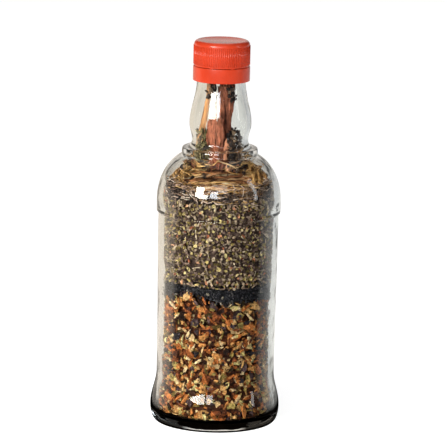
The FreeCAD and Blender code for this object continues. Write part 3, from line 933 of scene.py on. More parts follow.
def scatter_tree():
    """Points on the carrier, sunk by chance, each with one of the shapes, turned, scaled and tinted."""
    tree, given = new_tree(
        "scatter on a carrier",
        ("Carrier", "Geometry", None), ("Shapes", "Collection", None), ("Per square metre", "Float", 1000.0),
        ("Apart", "Float", 1 * mm), ("Depth", "Float", 1 * mm), ("Tilt", "Float", 0.5),
        ("Smallest", "Float", 0.7), ("Largest", "Float", 1.3), ("Seed", "Int", 0),
        ("Material", "Material", None),
    )
    points = add(tree, "GeometryNodeDistributePointsOnFaces",
                 {"Mesh": given["Carrier"], "Distance Min": given["Apart"],
                  "Density Max": given["Per square metre"], "Seed": given["Seed"]},
                 distribute_method="POISSON").outputs

    def chance(shift):
        """A number from 0 to 1 for each point."""
        number = maths(tree, "ADD", given["Seed"], shift)
        return add(tree, "FunctionNodeRandomValue", {2: 0.0, 3: 1.0, 8: number}, data_type="FLOAT").outputs[1]

    sink = maths(tree, "MULTIPLY", chance(1), given["Depth"])
    inwards = vectors(tree, "SCALE", points["Normal"], maths(tree, "MULTIPLY", sink, -1.0))
    placed = got(tree, "GeometryNodeSetPosition", {"Geometry": points["Points"], "Offset": inwards})
    half_turn = 3.1416
    any_turn = got(tree, "FunctionNodeRandomValue",
                   {0: (-1, -1, -half_turn), 1: (1, 1, half_turn), 8: maths(tree, "ADD", given["Seed"], 2)},
                   data_type="FLOAT_VECTOR")
    tilts = got(tree, "ShaderNodeCombineXYZ", {0: given["Tilt"], 1: given["Tilt"], 2: 1.0})
    lean = got(tree, "FunctionNodeEulerToRotation", {0: vectors(tree, "MULTIPLY", any_turn, tilts)})
    turned = got(tree, "FunctionNodeRotateRotation", {"Rotation": points["Rotation"], "Rotate By": lean},
                 rotation_space="LOCAL")
    shapes = got(tree, "GeometryNodeCollectionInfo",
                 {"Collection": given["Shapes"], "Separate Children": True, "Reset Children": True})
    size = span(tree, chance(3), low=given["Smallest"], high=given["Largest"])
    bits = got(tree, "GeometryNodeInstanceOnPoints",
               {"Points": placed, "Instance": shapes, "Pick Instance": True, "Rotation": turned,
                "Scale": size})
    return finish_tree(tree, noted(tree, bits, "tint", chance(4), "INSTANCE"), given["Material"])


scatter = scatter_tree()
crowding = 1.2  # bits tried on each square whose side is their least distance


def press_in(obj, gap=0.3 * mm, lowest=0.0):
    """Presses whatever pokes into the glass flat against it."""
    points = read_points(obj.data)
    radius = np.hypot(points[:, 0], points[:, 1])
    most = room_at(points[:, 2]) - gap
    points[:, :2] *= np.minimum(1.0, most / np.maximum(radius, 1e-9))[:, None]
    points[:, 2] = np.maximum(points[:, 2], lowest)
    write_points(obj.data, points)


def scatter_bits(carrier, slot, *kinds):
    """Scatters kinds of bits over copies of the carrier, each kind a piece, and drops the carrier.

    A kind is its name, shapes and material, how far its bits lie apart and sink, their tilt, their
    least and most size, and a seed. The two distances are in millimetres.
    """
    for name, shapes, material, apart, depth, tilt, sizes, seed_number in kinds:
        start = bpy.data.objects.new(name, carrier.data.copy())
        densest = crowding / (apart * mm) ** 2
        piece = run_tree(scatter, name, start, Shapes=shapes, Per_square_metre=densest, Apart=apart * mm,
                         Depth=depth * mm, Tilt=tilt, Smallest=sizes[0], Largest=sizes[1], Seed=seed_number,
                         Material=material)
        press_in(piece, gap=0.25 * mm, lowest=floor_thickness + 0.15 * mm)
        hand_over(piece, slot)
    drop(carrier)


# %% Carriers and cores
core_rows, carrier_rows, bed_sides = 26, 12, 120


def make_bed(name, low, high, core_inset, carrier_inset, material, bump, seed_number, slot, node):
    """The core of a bed, dark as painted shade for the depths of the heap, which stays, and the carrier for
    its bits, which is given back.
    """
    core = bed(name + "_core", low, high, core_inset, core_rows, bed_sides, True, core_inset * 0.8, material)
    roughen(core, 3.0 * mm, bump, seed_number)
    # the core's tints lie near the dark end of the bed's colours: painted shade for the depths between the
    # bits
    note(core.data, tint=soft_noise(read_points(core.data), 2.0 * mm, seed_number + 5) * 0.20 + 0.16)
    face_outwards(core)
    hand_over(core, slot, node)
    return bed(name + "_carrier", low, high, carrier_inset, carrier_rows, bed_sides, False)


# %% [markdown]
# ## The bottom bed: coarse bark and leaf
#
# The lower third is a mix of broken bark, leaf flakes and twig, from two to six millimetres long.
# Most of it is orange-brown; there are cream and yellow bits, some nearly black ones and a few
# yellow-green strips. Bigger pieces are scattered first and deeper, and small flakes in front of
# them fill the gaps between. The colours come from one ramp that each bit looks up with its tint.

# %% Chips and flakes
chip_stops = [(0.0, (0.012, 0.004, 0.002)), (0.14, (0.045, 0.013, 0.005)), (0.30, (0.15, 0.040, 0.012)),
              (0.50, (0.33, 0.095, 0.022)), (0.70, (0.37, 0.155, 0.042)), (0.86, (0.43, 0.25, 0.095)),
              (1.0, (0.56, 0.42, 0.24))]
leaf_stops = [(0.0, (0.022, 0.013, 0.005)), (0.25, (0.09, 0.052, 0.014)), (0.50, (0.22, 0.15, 0.038)),
              (0.75, (0.34, 0.26, 0.085)), (1.0, (0.46, 0.39, 0.18))]
night_stops = [(0.0, (0.008, 0.006, 0.008)), (0.6, (0.045, 0.026, 0.028)), (1.0, (0.13, 0.075, 0.07))]
# nearly black: painted shade, for the disc on the glass floor under the chips
floor_shade_stops = [(0.0, (0.008, 0.005, 0.003)), (1.0, (0.02, 0.012, 0.006))]
chip_grain = {"fibre": 1500.0, "blotch": 620.0}
bark_bits = plant_material("bark_chips", chip_stops, depth=1.1, dark=0.15, light=1.9, lift=0.6 * mm,
                           **chip_grain)
leaf_bits = plant_material("leaf_flakes", leaf_stops, depth=1.1, dark=0.2, light=1.8, roughness=0.65,
                           lift=0.5 * mm, **chip_grain)
night_bits = plant_material("dark_flakes", night_stops, roughness=0.65, lift=0.5 * mm, **chip_grain)
floor_shade_dark = plant_material("floor_dust", floor_shade_stops, shine=0.0)
chips_carrier = make_bed("chips", floor_level, chips_level, 4.2 * mm, 1.0 * mm, bark_bits, 0.9 * mm, 11,
                         "bark_chips", "coarse_mix")

# %% Painted shade on the floor
# A thin, nearly black disc lies on the glass floor under the chips, as painted shade. It reaches just
# into the glass, so that no air shows between them and the thick floor looks black from the side.
floor_shade_corner = foot_inner - 0.4 * mm - floor_corner
floor_shade_low, floor_shade_top = floor_thickness - 0.05 * mm, floor_thickness + 0.6 * mm
floor_shade_outline = join(
    (0, floor_shade_low), (floor_shade_corner, floor_shade_low),
    arc((floor_shade_corner, floor_bend), floor_corner + 0.45 * mm, floor_corner + 0.05 * mm,
        -math.pi / 2, -1.15, 6),
    (floor_shade_corner, floor_shade_top), (0, floor_shade_top),
)
floor_shade = lathe("floor_dust", floor_shade_outline, 96, floor_shade_dark)
face_outwards(floor_shade)
hand_over(floor_shade, "bark_chips")

# %% Scatter the chips
chunks = family("chunks", chip, 9, 21, (3.8, 7.0), (2.0, 3.8), (1.0, 2.2))
splinters = family("splinters", chip, 5, 22, (3.5, 7.5), (0.8, 1.6), (0.5, 1.0))
flakes = family("flakes", flake, 8, 23, (4.0, 8.0), (2.6, 5.0), (0.3, 0.6))
crumbs = family("crumbs", chip, 6, 24, (1.5, 3.0), (1.0, 2.0), (0.6, 1.2))
twigs = family("twigs", stalk, 5, 25, (3.5, 8.0), (0.6, 1.1))
scatter_bits(
    chips_carrier, "bark_chips",
    ("chip_chunks", chunks, bark_bits, 4.3, 2.4, 0.5, (0.6, 1.2), 31),
    ("chip_flakes", flakes, bark_bits, 4.2, 1.6, 0.5, (0.5, 1.2), 32),
    ("leaf_flakes", flakes, leaf_bits, 3.8, 1.2, 0.5, (0.4, 1.1), 33),
    ("dark_flakes", flakes, night_bits, 5.2, 1.0, 0.5, (0.4, 1.1), 37),
    ("chip_splinters", splinters, bark_bits, 3.8, 1.2, 0.35, (0.6, 1.2), 34),
    ("chip_twigs", twigs, leaf_bits, 8.5, 1.0, 0.25, (0.6, 1.1), 35),
    ("chip_crumbs", crumbs, bark_bits, 2.4, 1.6, 0.7, (0.6, 1.3), 36),
)

# %% [markdown]
# ## The band of black seeds
#
# Black seeds like nigella are angular, matt and about two millimetres long. They lie so close that
# they read as one black band with a fine grain, so the bed is a black core with a single layer of
# real seeds pressed against the glass, and a few pale specks among them.

# %% Seeds
seed_stops = [(0.0, (0.006, 0.006, 0.008)), (0.7, (0.018, 0.017, 0.022)), (0.95, (0.05, 0.045, 0.045)),
              (1.0, (0.20, 0.17, 0.13))]
seed_black = plant_material("black_seeds", seed_stops, fibre=2500.0, blotch=900.0, roughness=0.5,
                            lift=0.08 * mm)
seeds_carrier = make_bed("seeds", chips_level, seeds_level, 1.3 * mm, 0.65 * mm, seed_black, 0.3 * mm, 41,
                         "black_seeds", "seed_bed")
grains = family("grains", seed, 4, 42, (1.8, 2.5), (1.0, 1.4))
scatter_bits(seeds_carrier, "black_seeds",
             ("black_seeds", grains, seed_black, 1.15, 0.5, 0.9, (0.8, 1.1), 43))

# %% [markdown]
# ## The top bed: fine chopped herb
#
# Above the seeds lies a fine, dull herb: grey-brown crumbs of leaf a millimetre or two across,
# olive ones among them, short bits of stalk, and now and then a bigger leaf. It slopes down
# towards the front, and the coil of vine rests on it.

# %% Chopped herb
herb_stops = [(0.0, (0.022, 0.013, 0.011)), (0.20, (0.062, 0.038, 0.031)), (0.45, (0.165, 0.108, 0.088)),
              (0.70, (0.26, 0.185, 0.13)), (0.88, (0.36, 0.275, 0.19)), (1.0, (0.52, 0.42, 0.30))]
olive_stops = [(0.0, (0.05, 0.036, 0.010)), (0.4, (0.16, 0.115, 0.034)), (0.8, (0.30, 0.23, 0.085)),
               (1.0, (0.48, 0.39, 0.18))]
red_leaf_stops = [(0.0, (0.08, 0.022, 0.011)), (0.5, (0.29, 0.09, 0.045)), (1.0, (0.56, 0.30, 0.17))]
leaf_grain = {"fibre": 1600.0, "blotch": 500.0}
herb_bits = plant_material("chopped_herb", herb_stops, fibre=2200.0, blotch=700.0, dark=0.25, light=1.6)
olive_bits = plant_material("olive_leaf", olive_stops, **leaf_grain)
red_bits = plant_material("red_leaf", red_leaf_stops, **leaf_grain)
herb_carrier = make_bed("herb", seeds_level, herb_level, 2.4 * mm, 0.6 * mm, herb_bits, 0.45 * mm, 51,
                        "chopped_herb", "herb_mix")

# %% Scatter the herb
crumb_leaf = family("crumb_leaf", flake, 9, 52, (1.8, 4.0), (1.0, 2.4), (0.15, 0.3), sides=6)
crumb_chip = family("crumb_chip", chip, 6, 53, (1.4, 3.2), (0.5, 1.2), (0.3, 0.8))
stalks = family("stalks", stalk, 5, 54, (2.5, 5.5), (0.35, 0.6))
leaves = family("leaves", flake, 6, 55, (3.0, 5.0), (2.0, 3.4), (0.15, 0.25), sides=9, curl=0.7)
scatter_bits(
    herb_carrier, "chopped_herb",
    ("herb_leaf", crumb_leaf, herb_bits, 1.5, 1.5, 1.0, (0.6, 1.3), 61),
    ("herb_chip", crumb_chip, herb_bits, 1.5, 1.5, 1.0, (0.6, 1.3), 62),
    ("herb_olive", crumb_leaf, olive_bits, 2.0, 0.5, 0.6, (0.7, 1.3), 63),
    ("herb_red", crumb_leaf, red_bits, 4.5, 0.5, 0.6, (0.7, 1.3), 64),
    ("herb_stalk", stalks, herb_bits, 3.2, 0.5, 0.35, (0.6, 1.2), 65),
    ("herb_leaves", leaves, herb_bits, 8.0, 0.5, 0.3, (0.6, 1.1), 66),
)

# %% Crumbs on top
# The herb's open top, seen between the vine and through the shoulder, gets its own crumbs.
top_side = 81
across = np.linspace(-1, 1, top_side)
grid_x, grid_y = np.meshgrid(across, across)
grid_x, grid_y = grid_x.ravel() * belt_radius, grid_y.ravel() * belt_radius
level = herb_level(grid_x, grid_y)
inside_room = np.hypot(grid_x, grid_y) < room_at(level) - 1.0 * mm
numbers = np.arange(top_side**2).reshape(top_side, top_side)
squares = np.stack([numbers[:-1, :-1], numbers[:-1, 1:], numbers[1:, 1:], numbers[1:, :-1]], axis=-1)
squares = squares.reshape(-1, 4)
squares = squares[inside_room[squares].all(axis=1)]
top_carrier = new_piece("top_carrier", np.column_stack([grid_x, grid_y, level]), squares)
scatter_bits(top_carrier, "chopped_herb",
             ("top_crumbs", crumb_leaf, herb_bits, 1.5, 0.9, 0.6, (0.6, 1.3), 67))

# %% [markdown]
# ## The coil of vine
#
# A length of dry vine is wound into a ring of eight turns that lies on the herb, tilted with it.
# Dry vine is wavy, splits into fibres and never stays parallel. Each turn here follows its CAD
# ring with a wobble, and it is made of a strand and a few loose fibres. Curve to Mesh in Geometry
# Nodes gives the strand its thickness and stores how far along and around each point is, so
# that the grain runs along the vine. A bevelled curve looks the same but keeps no such numbers.

# %% The strand tree
def strand_tree():
    """Each path becomes a tube, as thick as its bulk says, that knows how far along and around it is."""
    tree, given = new_tree(
        "strands from paths",
        ("Paths", "Geometry", None), ("Thickness", "Float", 1 * mm), ("Sides", "Int", 8),
        ("Material", "Material", None),
    )
    curves = got(tree, "GeometryNodeMeshToCurve", {0: given["Paths"]})
    ring = got(tree, "GeometryNodeCurvePrimitiveCircle", {"Resolution": given["Sides"], "Radius": 1.0})
    share_along = add(tree, "GeometryNodeSplineParameter").outputs
    swing = maths(tree, "MULTIPLY", maths(tree, "PINGPONG", share_along["Factor"], 0.5), 4 * mm)
    bulk = got(tree, "GeometryNodeInputNamedAttribute", {"Name": "bulk"}, data_type="FLOAT")
    tubes = got(tree, "GeometryNodeCurveToMesh",
                {"Curve": noted(tree, curves, "along", share_along["Length"]),
                 "Profile Curve": noted(tree, ring, "across", swing),
                 "Scale": maths(tree, "MULTIPLY", bulk, given["Thickness"]), "Fill Caps": True})
    smooth = got(tree, "GeometryNodeSetShadeSmooth", {"Geometry": tubes})
    return finish_tree(tree, smooth, given["Material"])


strands = strand_tree()


def strand_piece(name, paths, material, sides, *nodes):
    """One piece from many paths. A path is (points, radius at each in millimetres, tint, closed)."""
    points, edges, bulk, tint = [], [], [], []
    for path, thick, colour, closed in paths:
        base = len(points)
        points += list(path)
        edges += [(base + step, base + step + 1) for step in range(len(path) - 1)]
        if closed:
            edges.append((base + len(path) - 1, base))
        bulk += list(thick)
        tint += [colour] * len(path)
    start = new_piece(name, points, (), edges=edges, bulk=bulk, tint=tint)
    piece = run_tree(strands, name, start, Thickness=1.0 * mm, Sides=sides, Material=material)
    press_in(piece)
    hand_over(piece, "vine", *nodes)


def wobble(path, size, depth, number):
    """Moves a path's points about by soft noise."""
    shift = np.column_stack([soft_noise(path, size, number + turn * 11.7) for turn in range(3)])
    return path + shift * depth


def swept_ring(radius, angle, height, lean):
    """Part of a ring at a height above its own middle, leaning about X and about Y."""
    flat = np.column_stack([radius * np.cos(angle), radius * np.sin(angle), np.full(len(angle), height)])
    return flat @ np.array(Matrix.Rotation(lean[0], 3, "X") @ Matrix.Rotation(lean[1], 3, "Y")).T


# %% Vine
vine_stops = [(0.0, (0.05, 0.022, 0.010)), (0.3, (0.17, 0.075, 0.026)), (0.55, (0.40, 0.21, 0.070)),
              (0.8, (0.56, 0.33, 0.12)), (1.0, (0.66, 0.44, 0.22))]
vine_grain = {"fibre": 1500.0, "blotch": 420.0, "squash": 0.25, "shine": 0.4}
vine_bark = plant_material("vine", vine_stops, depth=0.9, roughness=0.55, lift=0.3 * mm, dark=0.6, light=1.5,
                           **vine_grain)
coil_forward = 1.0 * mm
vine_turns = [f"vine_turn_{number}" for number in range(1, 9)]
vine_half = 1.15 * mm  # half the thickness of a turn
fibre_off = 1.2 * mm   # how far a loose fibre lies from its turn


def steps_round(share):
    """How many points a part of a ring gets."""
    return max(12, int(220 * share))


def ring_path(radius, lift, wave_depth, number, start=0.0, share=1.0, lean=(0.0, 0.0)):
    """Part of a ring above the tilted herb, wavy like dry vine."""
    angle = start + np.linspace(0, 2 * np.pi * share, steps_round(share))
    path = swept_ring(radius, angle, lift, (herb_tilt + lean[0], lean[1]))
    path[:, 1] -= coil_forward
    path[:, 2] += herb_middle - herb_slope * coil_forward
    return wobble(path, 9 * mm, wave_depth, number)


rng = np.random.default_rng(71)
paths = []
for number, node in enumerate(vine_turns, 1):
    low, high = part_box(node)
    ring_radius = (high.x - low.x) / 2 - vine_half
    middle = (low + high) / 2
    lift = (middle.z - herb_middle + herb_slope * coil_forward) / math.cos(herb_tilt)
    shade = rng.uniform(0.15, 0.75)
    lean = (0.04 + 0.055 * lift / mm / 2, rng.uniform(-0.03, 0.03))  # upper turns lean more to the front
    path = ring_path(ring_radius, lift, 2.0 * mm, 80 + number, lean=lean)[:-1]
    paths.append((path, 0.52 + 0.22 * soft_noise(path, 5 * mm, 90 + number), shade, True))
    for fibre in range(6):
        start, share, side = rng.uniform(0, 2 * np.pi), rng.uniform(0.25, 0.6), rng.uniform(0, 2 * np.pi)
        beside = ring_path(ring_radius + fibre_off * math.cos(side), lift + fibre_off * math.sin(side),
                           1.6 * mm, 100 + number * 7 + fibre, start, share, lean)
        ends = np.sin(np.linspace(0.02, np.pi - 0.02, len(beside))) ** 0.5
        thick = rng.uniform(0.2, 0.42) * ends + 0.05
        paths.append((beside, thick, min(1.0, shade + rng.uniform(-0.3, 0.35)), False))
strand_piece("vine_coil", paths, vine_bark, 8, *vine_turns)

# %% [markdown]
# ## Loose strands between the coil and the neck
#
# Thinner vine and rootlets lie on the coil and climb the back of the shoulder up to the throat,
# closing in like a bird's nest. Each is part of a leaning ring or a short curly path, both from a
# few random numbers. A few bold arcs of peeled, golden vine lie on top of the others.

# %% Paths for loose strands
def loose_path(start, heading, length, curl, number, climb=0.35, step=0.5 * mm):
    """A curly path: its heading is turned a little at every step by soft noise."""
    count = int(length / step)
    knots = np.column_stack([np.arange(count) * step, np.zeros(count), np.zeros(count)])
    yaw = soft_noise(knots, 4 * mm, number) * curl
    pitch = soft_noise(knots, 4 * mm, number + 50.5) * curl * 0.5
    point, direction, points = np.array(start, float), heading, []
    for turn, rise in zip(yaw, pitch):
        direction += turn * 0.35
        points.append(point.copy())
        point += step * np.array([math.cos(direction), math.sin(direction), climb * rise])
    return np.array(points)


# the nest closes in towards the neck: heights, and how far out it reaches at each
dome_heights = np.array((126, 130, 134, 137, 140, 143)) * mm
dome_radii = np.array((28.4, 27.4, 24.8, 21.4, 17.6, 14.2)) * mm


def dome_radius(height):
    """How far out the nest reaches at a height."""
    return np.interp(height, dome_heights, dome_radii)


def under_dome(path):
    """Presses a path down to the nest's outline."""
    reach = np.hypot(path[:, 0], path[:, 1])
    path[:, 2] = np.minimum(path[:, 2], np.interp(reach, dome_radii[::-1], dome_heights[::-1]))
    return path


def dome_path(height, radius, middle, share, number, lean, wave=1.7 * mm):
    """Part of a leaning wavy ring, round the direction given by middle."""
    angle = middle + np.linspace(-np.pi, np.pi, steps_round(share)) * share
    path = swept_ring(radius, angle, 0.0, lean)
    path[:, 2] += height
    return wobble(path, 8 * mm, wave, number)


def tapered(path, thick, tint):
    """An open path, thinner towards both ends, as strand_piece takes it."""
    ends = np.sin(np.linspace(0.05, np.pi - 0.05, len(path))) ** 0.4
    return path, thick * ends, tint, False


def above_herb(path, thick, tint, least=0.5 * mm):
    """The same, lifted out of the herb."""
    path[:, 2] = np.maximum(path[:, 2], herb_level(path[:, 0], path[:, 1]) + least)
    return tapered(path, thick, tint)


# %% Loose strands
to_back, to_front = math.pi / 2, -math.pi / 2
rng = np.random.default_rng(72)
paths, arcs = [], []
for number in range(80):  # long ones, from side to side round the back
    lean = (rng.uniform(0.16, 0.40), rng.normal(0, 0.05))
    radius = rng.uniform(18, 27) * mm
    height = rng.uniform(122.5, 129.0) * mm
    path = dome_path(height, radius, to_back + rng.normal(0, 0.35), rng.uniform(0.28, 0.58),
                     600 + number, lean)
    paths.append(above_herb(under_dome(path), rng.uniform(0.3, 0.75), rng.uniform(0.25, 1.0) ** 0.7))
for number in range(50):  # short fine ones in the throat
    height, lean = rng.uniform(137.0, 143.0) * mm, (rng.normal(0.05, 0.10), rng.normal(0, 0.15))
    path = dome_path(height, dome_radius(height) - rng.uniform(0.2, 3.5) * mm, rng.uniform(0, 2 * np.pi),
                     rng.uniform(0.04, 0.12), 760 + number, lean)
    paths.append(above_herb(path, rng.uniform(0.12, 0.34), rng.uniform(0.45, 1.0)))
for number in range(34):  # the bold golden arcs
    lean = (rng.uniform(0.12, 0.28), rng.normal(0, 0.04))
    path = dome_path(rng.uniform(125.5, 129.0) * mm, rng.uniform(24.0, 27.5) * mm,
                     to_back + rng.normal(0, 0.15), rng.uniform(0.40, 0.54), 850 + number, lean, 0.9 * mm)
    path[:, 1] *= rng.uniform(0.2, 0.65)
    arcs.append(above_herb(under_dome(path), rng.uniform(0.35, 0.62), rng.uniform(0.2, 1.0), 1.0 * mm))
for number in range(4):  # pale ones along the front
    path = dome_path(rng.uniform(124.8, 126.0) * mm, 27.2 * mm, to_front + 0.25 + rng.normal(0, 0.06),
                     rng.uniform(0.12, 0.17), 830 + number, (0.11, 0.02))
    paths.append(above_herb(path, rng.uniform(0.35, 0.5), rng.uniform(0.75, 0.95)))
for number in range(90):  # those that climb the shoulder behind
    height = rng.uniform(130, 143) * mm
    radius = dome_radius(height) - rng.uniform(0.2, 3.2) * mm
    middle = to_back + rng.uniform(-1.6, 1.6)
    lean = (rng.normal(0.02, 0.09), rng.normal(0, 0.12))
    path = dome_path(height, radius, middle, rng.uniform(0.06, 0.24), 200 + number, lean)
    paths.append(above_herb(path, rng.uniform(0.25, 0.66), rng.uniform(0.25, 1.0)))
for number in range(90):  # curly ones in the bowl
    angle, reach = rng.uniform(0, 2 * np.pi), rng.uniform(0.35, 1.0) ** 0.6
    x, y = 24 * mm * reach * math.cos(angle), 24 * mm * reach * math.sin(angle) - coil_forward
    height = herb_level(x, y) + rng.uniform(2.0, 7.0) * mm
    path = loose_path((x, y, height), angle + rng.uniform(1.0, 2.1), rng.uniform(6, 22) * mm,
                      rng.uniform(0.5, 1.6), 300 + number)
    paths.append(above_herb(path, rng.uniform(0.14, 0.34), rng.uniform(0.3, 1.0)))
strand_piece("vine_strays", paths, vine_bark, 6)

# %% Golden arcs
golden_vine_stops = [(0.0, (0.52, 0.27, 0.09)), (0.5, (0.62, 0.36, 0.13)), (1.0, (0.66, 0.44, 0.20))]
golden_vine = plant_material("golden_vine", golden_vine_stops, depth=0.3, roughness=0.5, lift=0.2 * mm,
                             dark=0.65, light=1.3, **vine_grain)
strand_piece("vine_arcs", arcs, golden_vine, 6)

# %% [markdown]
# ## Strips of bark
#
# In the bowl of the coil lie shreds of reddish bark, one over the other and nearly level, with
# dark gaps between. In the neck stand taller pieces that came in through the mouth. All of them
# are curled strips: a spine of points, a width at each point, a curl across, and torn ends. The
# grid is worked out in numpy and closed all round, so that each strip is a real solid.

# %% One strip, and many in one piece
def strip(spine, widths, thickness, curl, facing, number, tint, columns=9, torn=0.25, rough=0.25 * mm):
    """Points, faces and grain of a closed curled strip. Curl is in degrees, facing is a direction."""
    rows = len(spine)
    chance = np.random.default_rng(number)
    ahead = np.gradient(spine, axis=0)
    steps = np.linalg.norm(np.diff(spine, axis=0), axis=1)
    ahead /= np.linalg.norm(ahead, axis=1)[:, None]
    front = np.tile(np.asarray(facing, float), (rows, 1))
    front -= ahead * np.sum(ahead * front, axis=1)[:, None]
    front /= np.linalg.norm(front, axis=1)[:, None]
    side = np.cross(ahead, front)
    half_angle = math.radians(curl) / 2
    place = np.linspace(-1, 1, columns)
    bend_radius = widths / 2 / math.sin(min(half_angle, math.pi / 2))
    edge_wander = 1 + torn * 0.35 * chance.uniform(-1, 1, (rows, 2))
    length = np.concatenate([[0], np.cumsum(steps)])
    fade = np.maximum(0, 1 - np.arange(rows) / 2.5)
    tears = chance.uniform(-1, 1, (2, columns)) * torn * widths.mean() * 1.5
    pulled = tears[0] * fade[:, None] - tears[1] * fade[::-1, None]
    spread = np.where(place < 0, place * edge_wander[:, :1], place * edge_wander[:, 1:])
    angle = spread * half_angle
    layers = []
    for layer in (0, 1):
        thin = layer * thickness * (1 - 0.6 * np.abs(place) ** 3)
        radius = bend_radius[:, None] - thin
        out = radius * np.cos(angle) - bend_radius[:, None] * (1 + math.cos(half_angle)) / 2
        sideways = radius * np.sin(angle)
        grid = spine[:, None] + front[:, None] * out[..., None] + side[:, None] * sideways[..., None]
        layers.append((grid + ahead[:, None] * pulled[..., None]).reshape(-1, 3))
    points = np.vstack(layers)
    along = np.tile(np.repeat(length, columns) + tint * 0.31, 2)
    across = np.tile((spread * widths[:, None] / 2).ravel(), 2)
    grain = np.column_stack([across * 3.0, along * 0.25, np.full(len(along), number * mm)])
    grooves = soft_noise(grain, 2.2 * mm)
    relief = (grooves + soft_noise(points, 3 * mm)) * rough
    points += np.tile(np.repeat(front, columns, axis=0), (2, 1)) * relief[:, None]
    count = rows * columns
    faces = []
    for row in range(rows - 1):
        for column in range(columns - 1):
            base = row * columns + column
            loop = (base, base + 1, base + columns + 1, base + columns)
            faces += [loop, tuple(count + corner for corner in loop[::-1])]
    rim = [*range(columns), *[row * columns + columns - 1 for row in range(1, rows)],
           *range(count - 2, count - columns - 1, -1), *[row * columns for row in range(rows - 2, 0, -1)]]
    faces += [(second, first, first + count, second + count) for first, second in zip(rim, rim[1:] + rim[:1])]
    return points, faces, {"along": along, "across": across, "tint": np.full(len(points), tint)}


def joined(name, parts, material, smooth=True):
    """Joins parts into one piece. A part is its points, its faces and named numbers for its points."""
    faces, base = [], 0
    for points, part_faces, numbers in parts:
        faces += [tuple(corner + base for corner in face) for face in part_faces]
        base += len(points)
    marks = {mark: np.concatenate([part[2][mark] for part in parts]) for mark in parts[0][2]}
    return new_piece(name, np.vstack([part[0] for part in parts]), faces, material, smooth, **marks)


def strips_piece(name, strips, material, slot, *nodes):
    """One piece from many strips, pressed into the glass."""
    piece = face_outwards(joined(name, strips, material))
    crease(piece, 50)
    press_in(piece)
    hand_over(piece, slot, *nodes)


# %% Shreds in the bowl
red_stops = [(0.0, (0.03, 0.010, 0.007)), (0.3, (0.11, 0.033, 0.019)), (0.6, (0.23, 0.076, 0.042)),
             (0.85, (0.36, 0.16, 0.088)), (1.0, (0.52, 0.32, 0.20))]
red_bark = plant_material("red_bark", red_stops, fibre=1900.0, blotch=700.0, depth=1.0, squash=0.14,
                          roughness=0.7, lift=0.6 * mm, dark=0.15, light=2.1)
shred_stops = [(0.0, (0.035, 0.016, 0.008)), (0.3, (0.15, 0.056, 0.022)), (0.6, (0.34, 0.145, 0.058)),
               (0.85, (0.53, 0.30, 0.15)), (1.0, (0.72, 0.54, 0.36))]
shred_bark = plant_material("shred_bark", shred_stops, fibre=1500.0, blotch=420.0, depth=1.1, squash=0.16,
                            roughness=0.7, lift=0.4 * mm, dark=0.25, light=2.0)
bowl_wide, bowl_deep = 17.5 * mm, 15.5 * mm
rng = np.random.default_rng(73)
steps = np.linspace(-0.5, 0.5, 8)
shreds = []
for number in range(230):
    angle, reach = rng.uniform(0, 2 * np.pi), rng.uniform(0.05, 1.0) ** 0.6
    x, y = bowl_wide * reach * math.cos(angle), bowl_deep * reach * math.sin(angle) - coil_forward
    heap_top = 4.5 + 6.0 * (1 - reach) * (y > -10 * mm)
    layer = rng.uniform(0.8, heap_top) * mm
    heading, length = rng.normal(0, 0.5), rng.uniform(6, 17) * mm
    bow = rng.uniform(-2.0, 2.0) * mm
    spine = np.column_stack([x + steps * length * math.cos(heading), y + steps * length * math.sin(heading),
                             np.zeros(8)])
    spine[:, 2] = herb_middle + herb_slope * spine[:, 1] + layer + bow * (0.25 - steps**2) * 2
    spine[:, 2] += rng.uniform(-0.12, 0.12) * steps * length
    widths = rng.uniform(0.6, 2.3) * mm * (0.6 + 0.4 * np.sin((steps + 0.5) * np.pi))
    thickness, curl = rng.uniform(0.3, 0.6) * mm, rng.uniform(30, 110)
    facing = (rng.normal(0, 0.3), rng.normal(-0.5, 0.3), 1)
    shreds.append(strip(spine, widths, thickness, curl, facing, 400 + number, rng.uniform(0, 1), columns=6,
                        rough=0.12 * mm))
bark_strips = [f"bark_strip_{number}" for number in range(1, 6)]
strips_piece("bark_shreds", shreds, shred_bark, "red_bark", *bark_strips)

# %% [markdown]
# ## The tall pieces in the neck
#
# A wide fibrous curl of red bark is jammed under the cap and narrows downwards. In front of it
# stands a short split piece, and a golden strip leans on the glass at the left. Dark leaf and small
# red pieces are heaped round their feet, where the neck widens.

# %% Tall bark
def spread_out(values, rows):
    """Values in millimetres, spread evenly over more rows, in metres."""
    knots = np.array(values, float) * mm
    return np.interp(np.linspace(0, 1, rows), np.linspace(0, 1, len(knots)), knots)


def tall_strip(places, widths, thickness, curl, facing, number, tint, rows=60, **more):
    """A strip through a few places, with a few widths along it, all in millimetres."""
    spine = np.column_stack([spread_out(axis, rows) for axis in zip(*places)])
    return strip(spine, spread_out(widths, rows), thickness * mm, curl, facing, number, tint, **more)


broad = {"columns": 25, "torn": 0.5, "rough": 0.8 * mm}
main = tall_strip([(3.8, 0.8, 141), (3.6, 0.5, 151), (3.4, 0.2, 163), (3.6, 0.4, 174), (3.0, 0.8, 196)],
                  (4.0, 4.4, 4.8, 8.6, 8.2), 1.3, 130, (0.1, -1.0, 0.1), 501, 0.45, **broad)
splinter = tall_strip([(1.6, -1.2, 160), (0.4, -1.4, 170), (-0.6, -1.0, 180)], (1.4, 2.6, 3.0), 0.8, 90,
                      (-0.3, -1, 0), 502, 0.55)
strips_piece("bark_main", [main, splinter], red_bark, "red_bark", "bark_stick_main")

# %% Short bark and golden strip
short = tall_strip([(-2.4, -7.0, 140), (-2.6, -7.4, 147), (-2.8, -7.8, 151), (-3.0, -7.4, 157),
                    (-2.7, -6.8, 164)],
                   (4.5, 5.5, 8.6, 8.8, 7.6), 1.6, 105, (-0.1, -1, 0.15), 503, 0.60, **broad)
short_split = tall_strip([(1.2, -7.2, 148), (1.4, -7.6, 156), (0.9, -7.0, 161)], (1.6, 2.2, 1.4), 0.9, 80,
                         (0.3, -1, 0), 504, 0.5)
strips_piece("bark_short", [short, short_split], red_bark, "red_bark", "bark_stick_short")

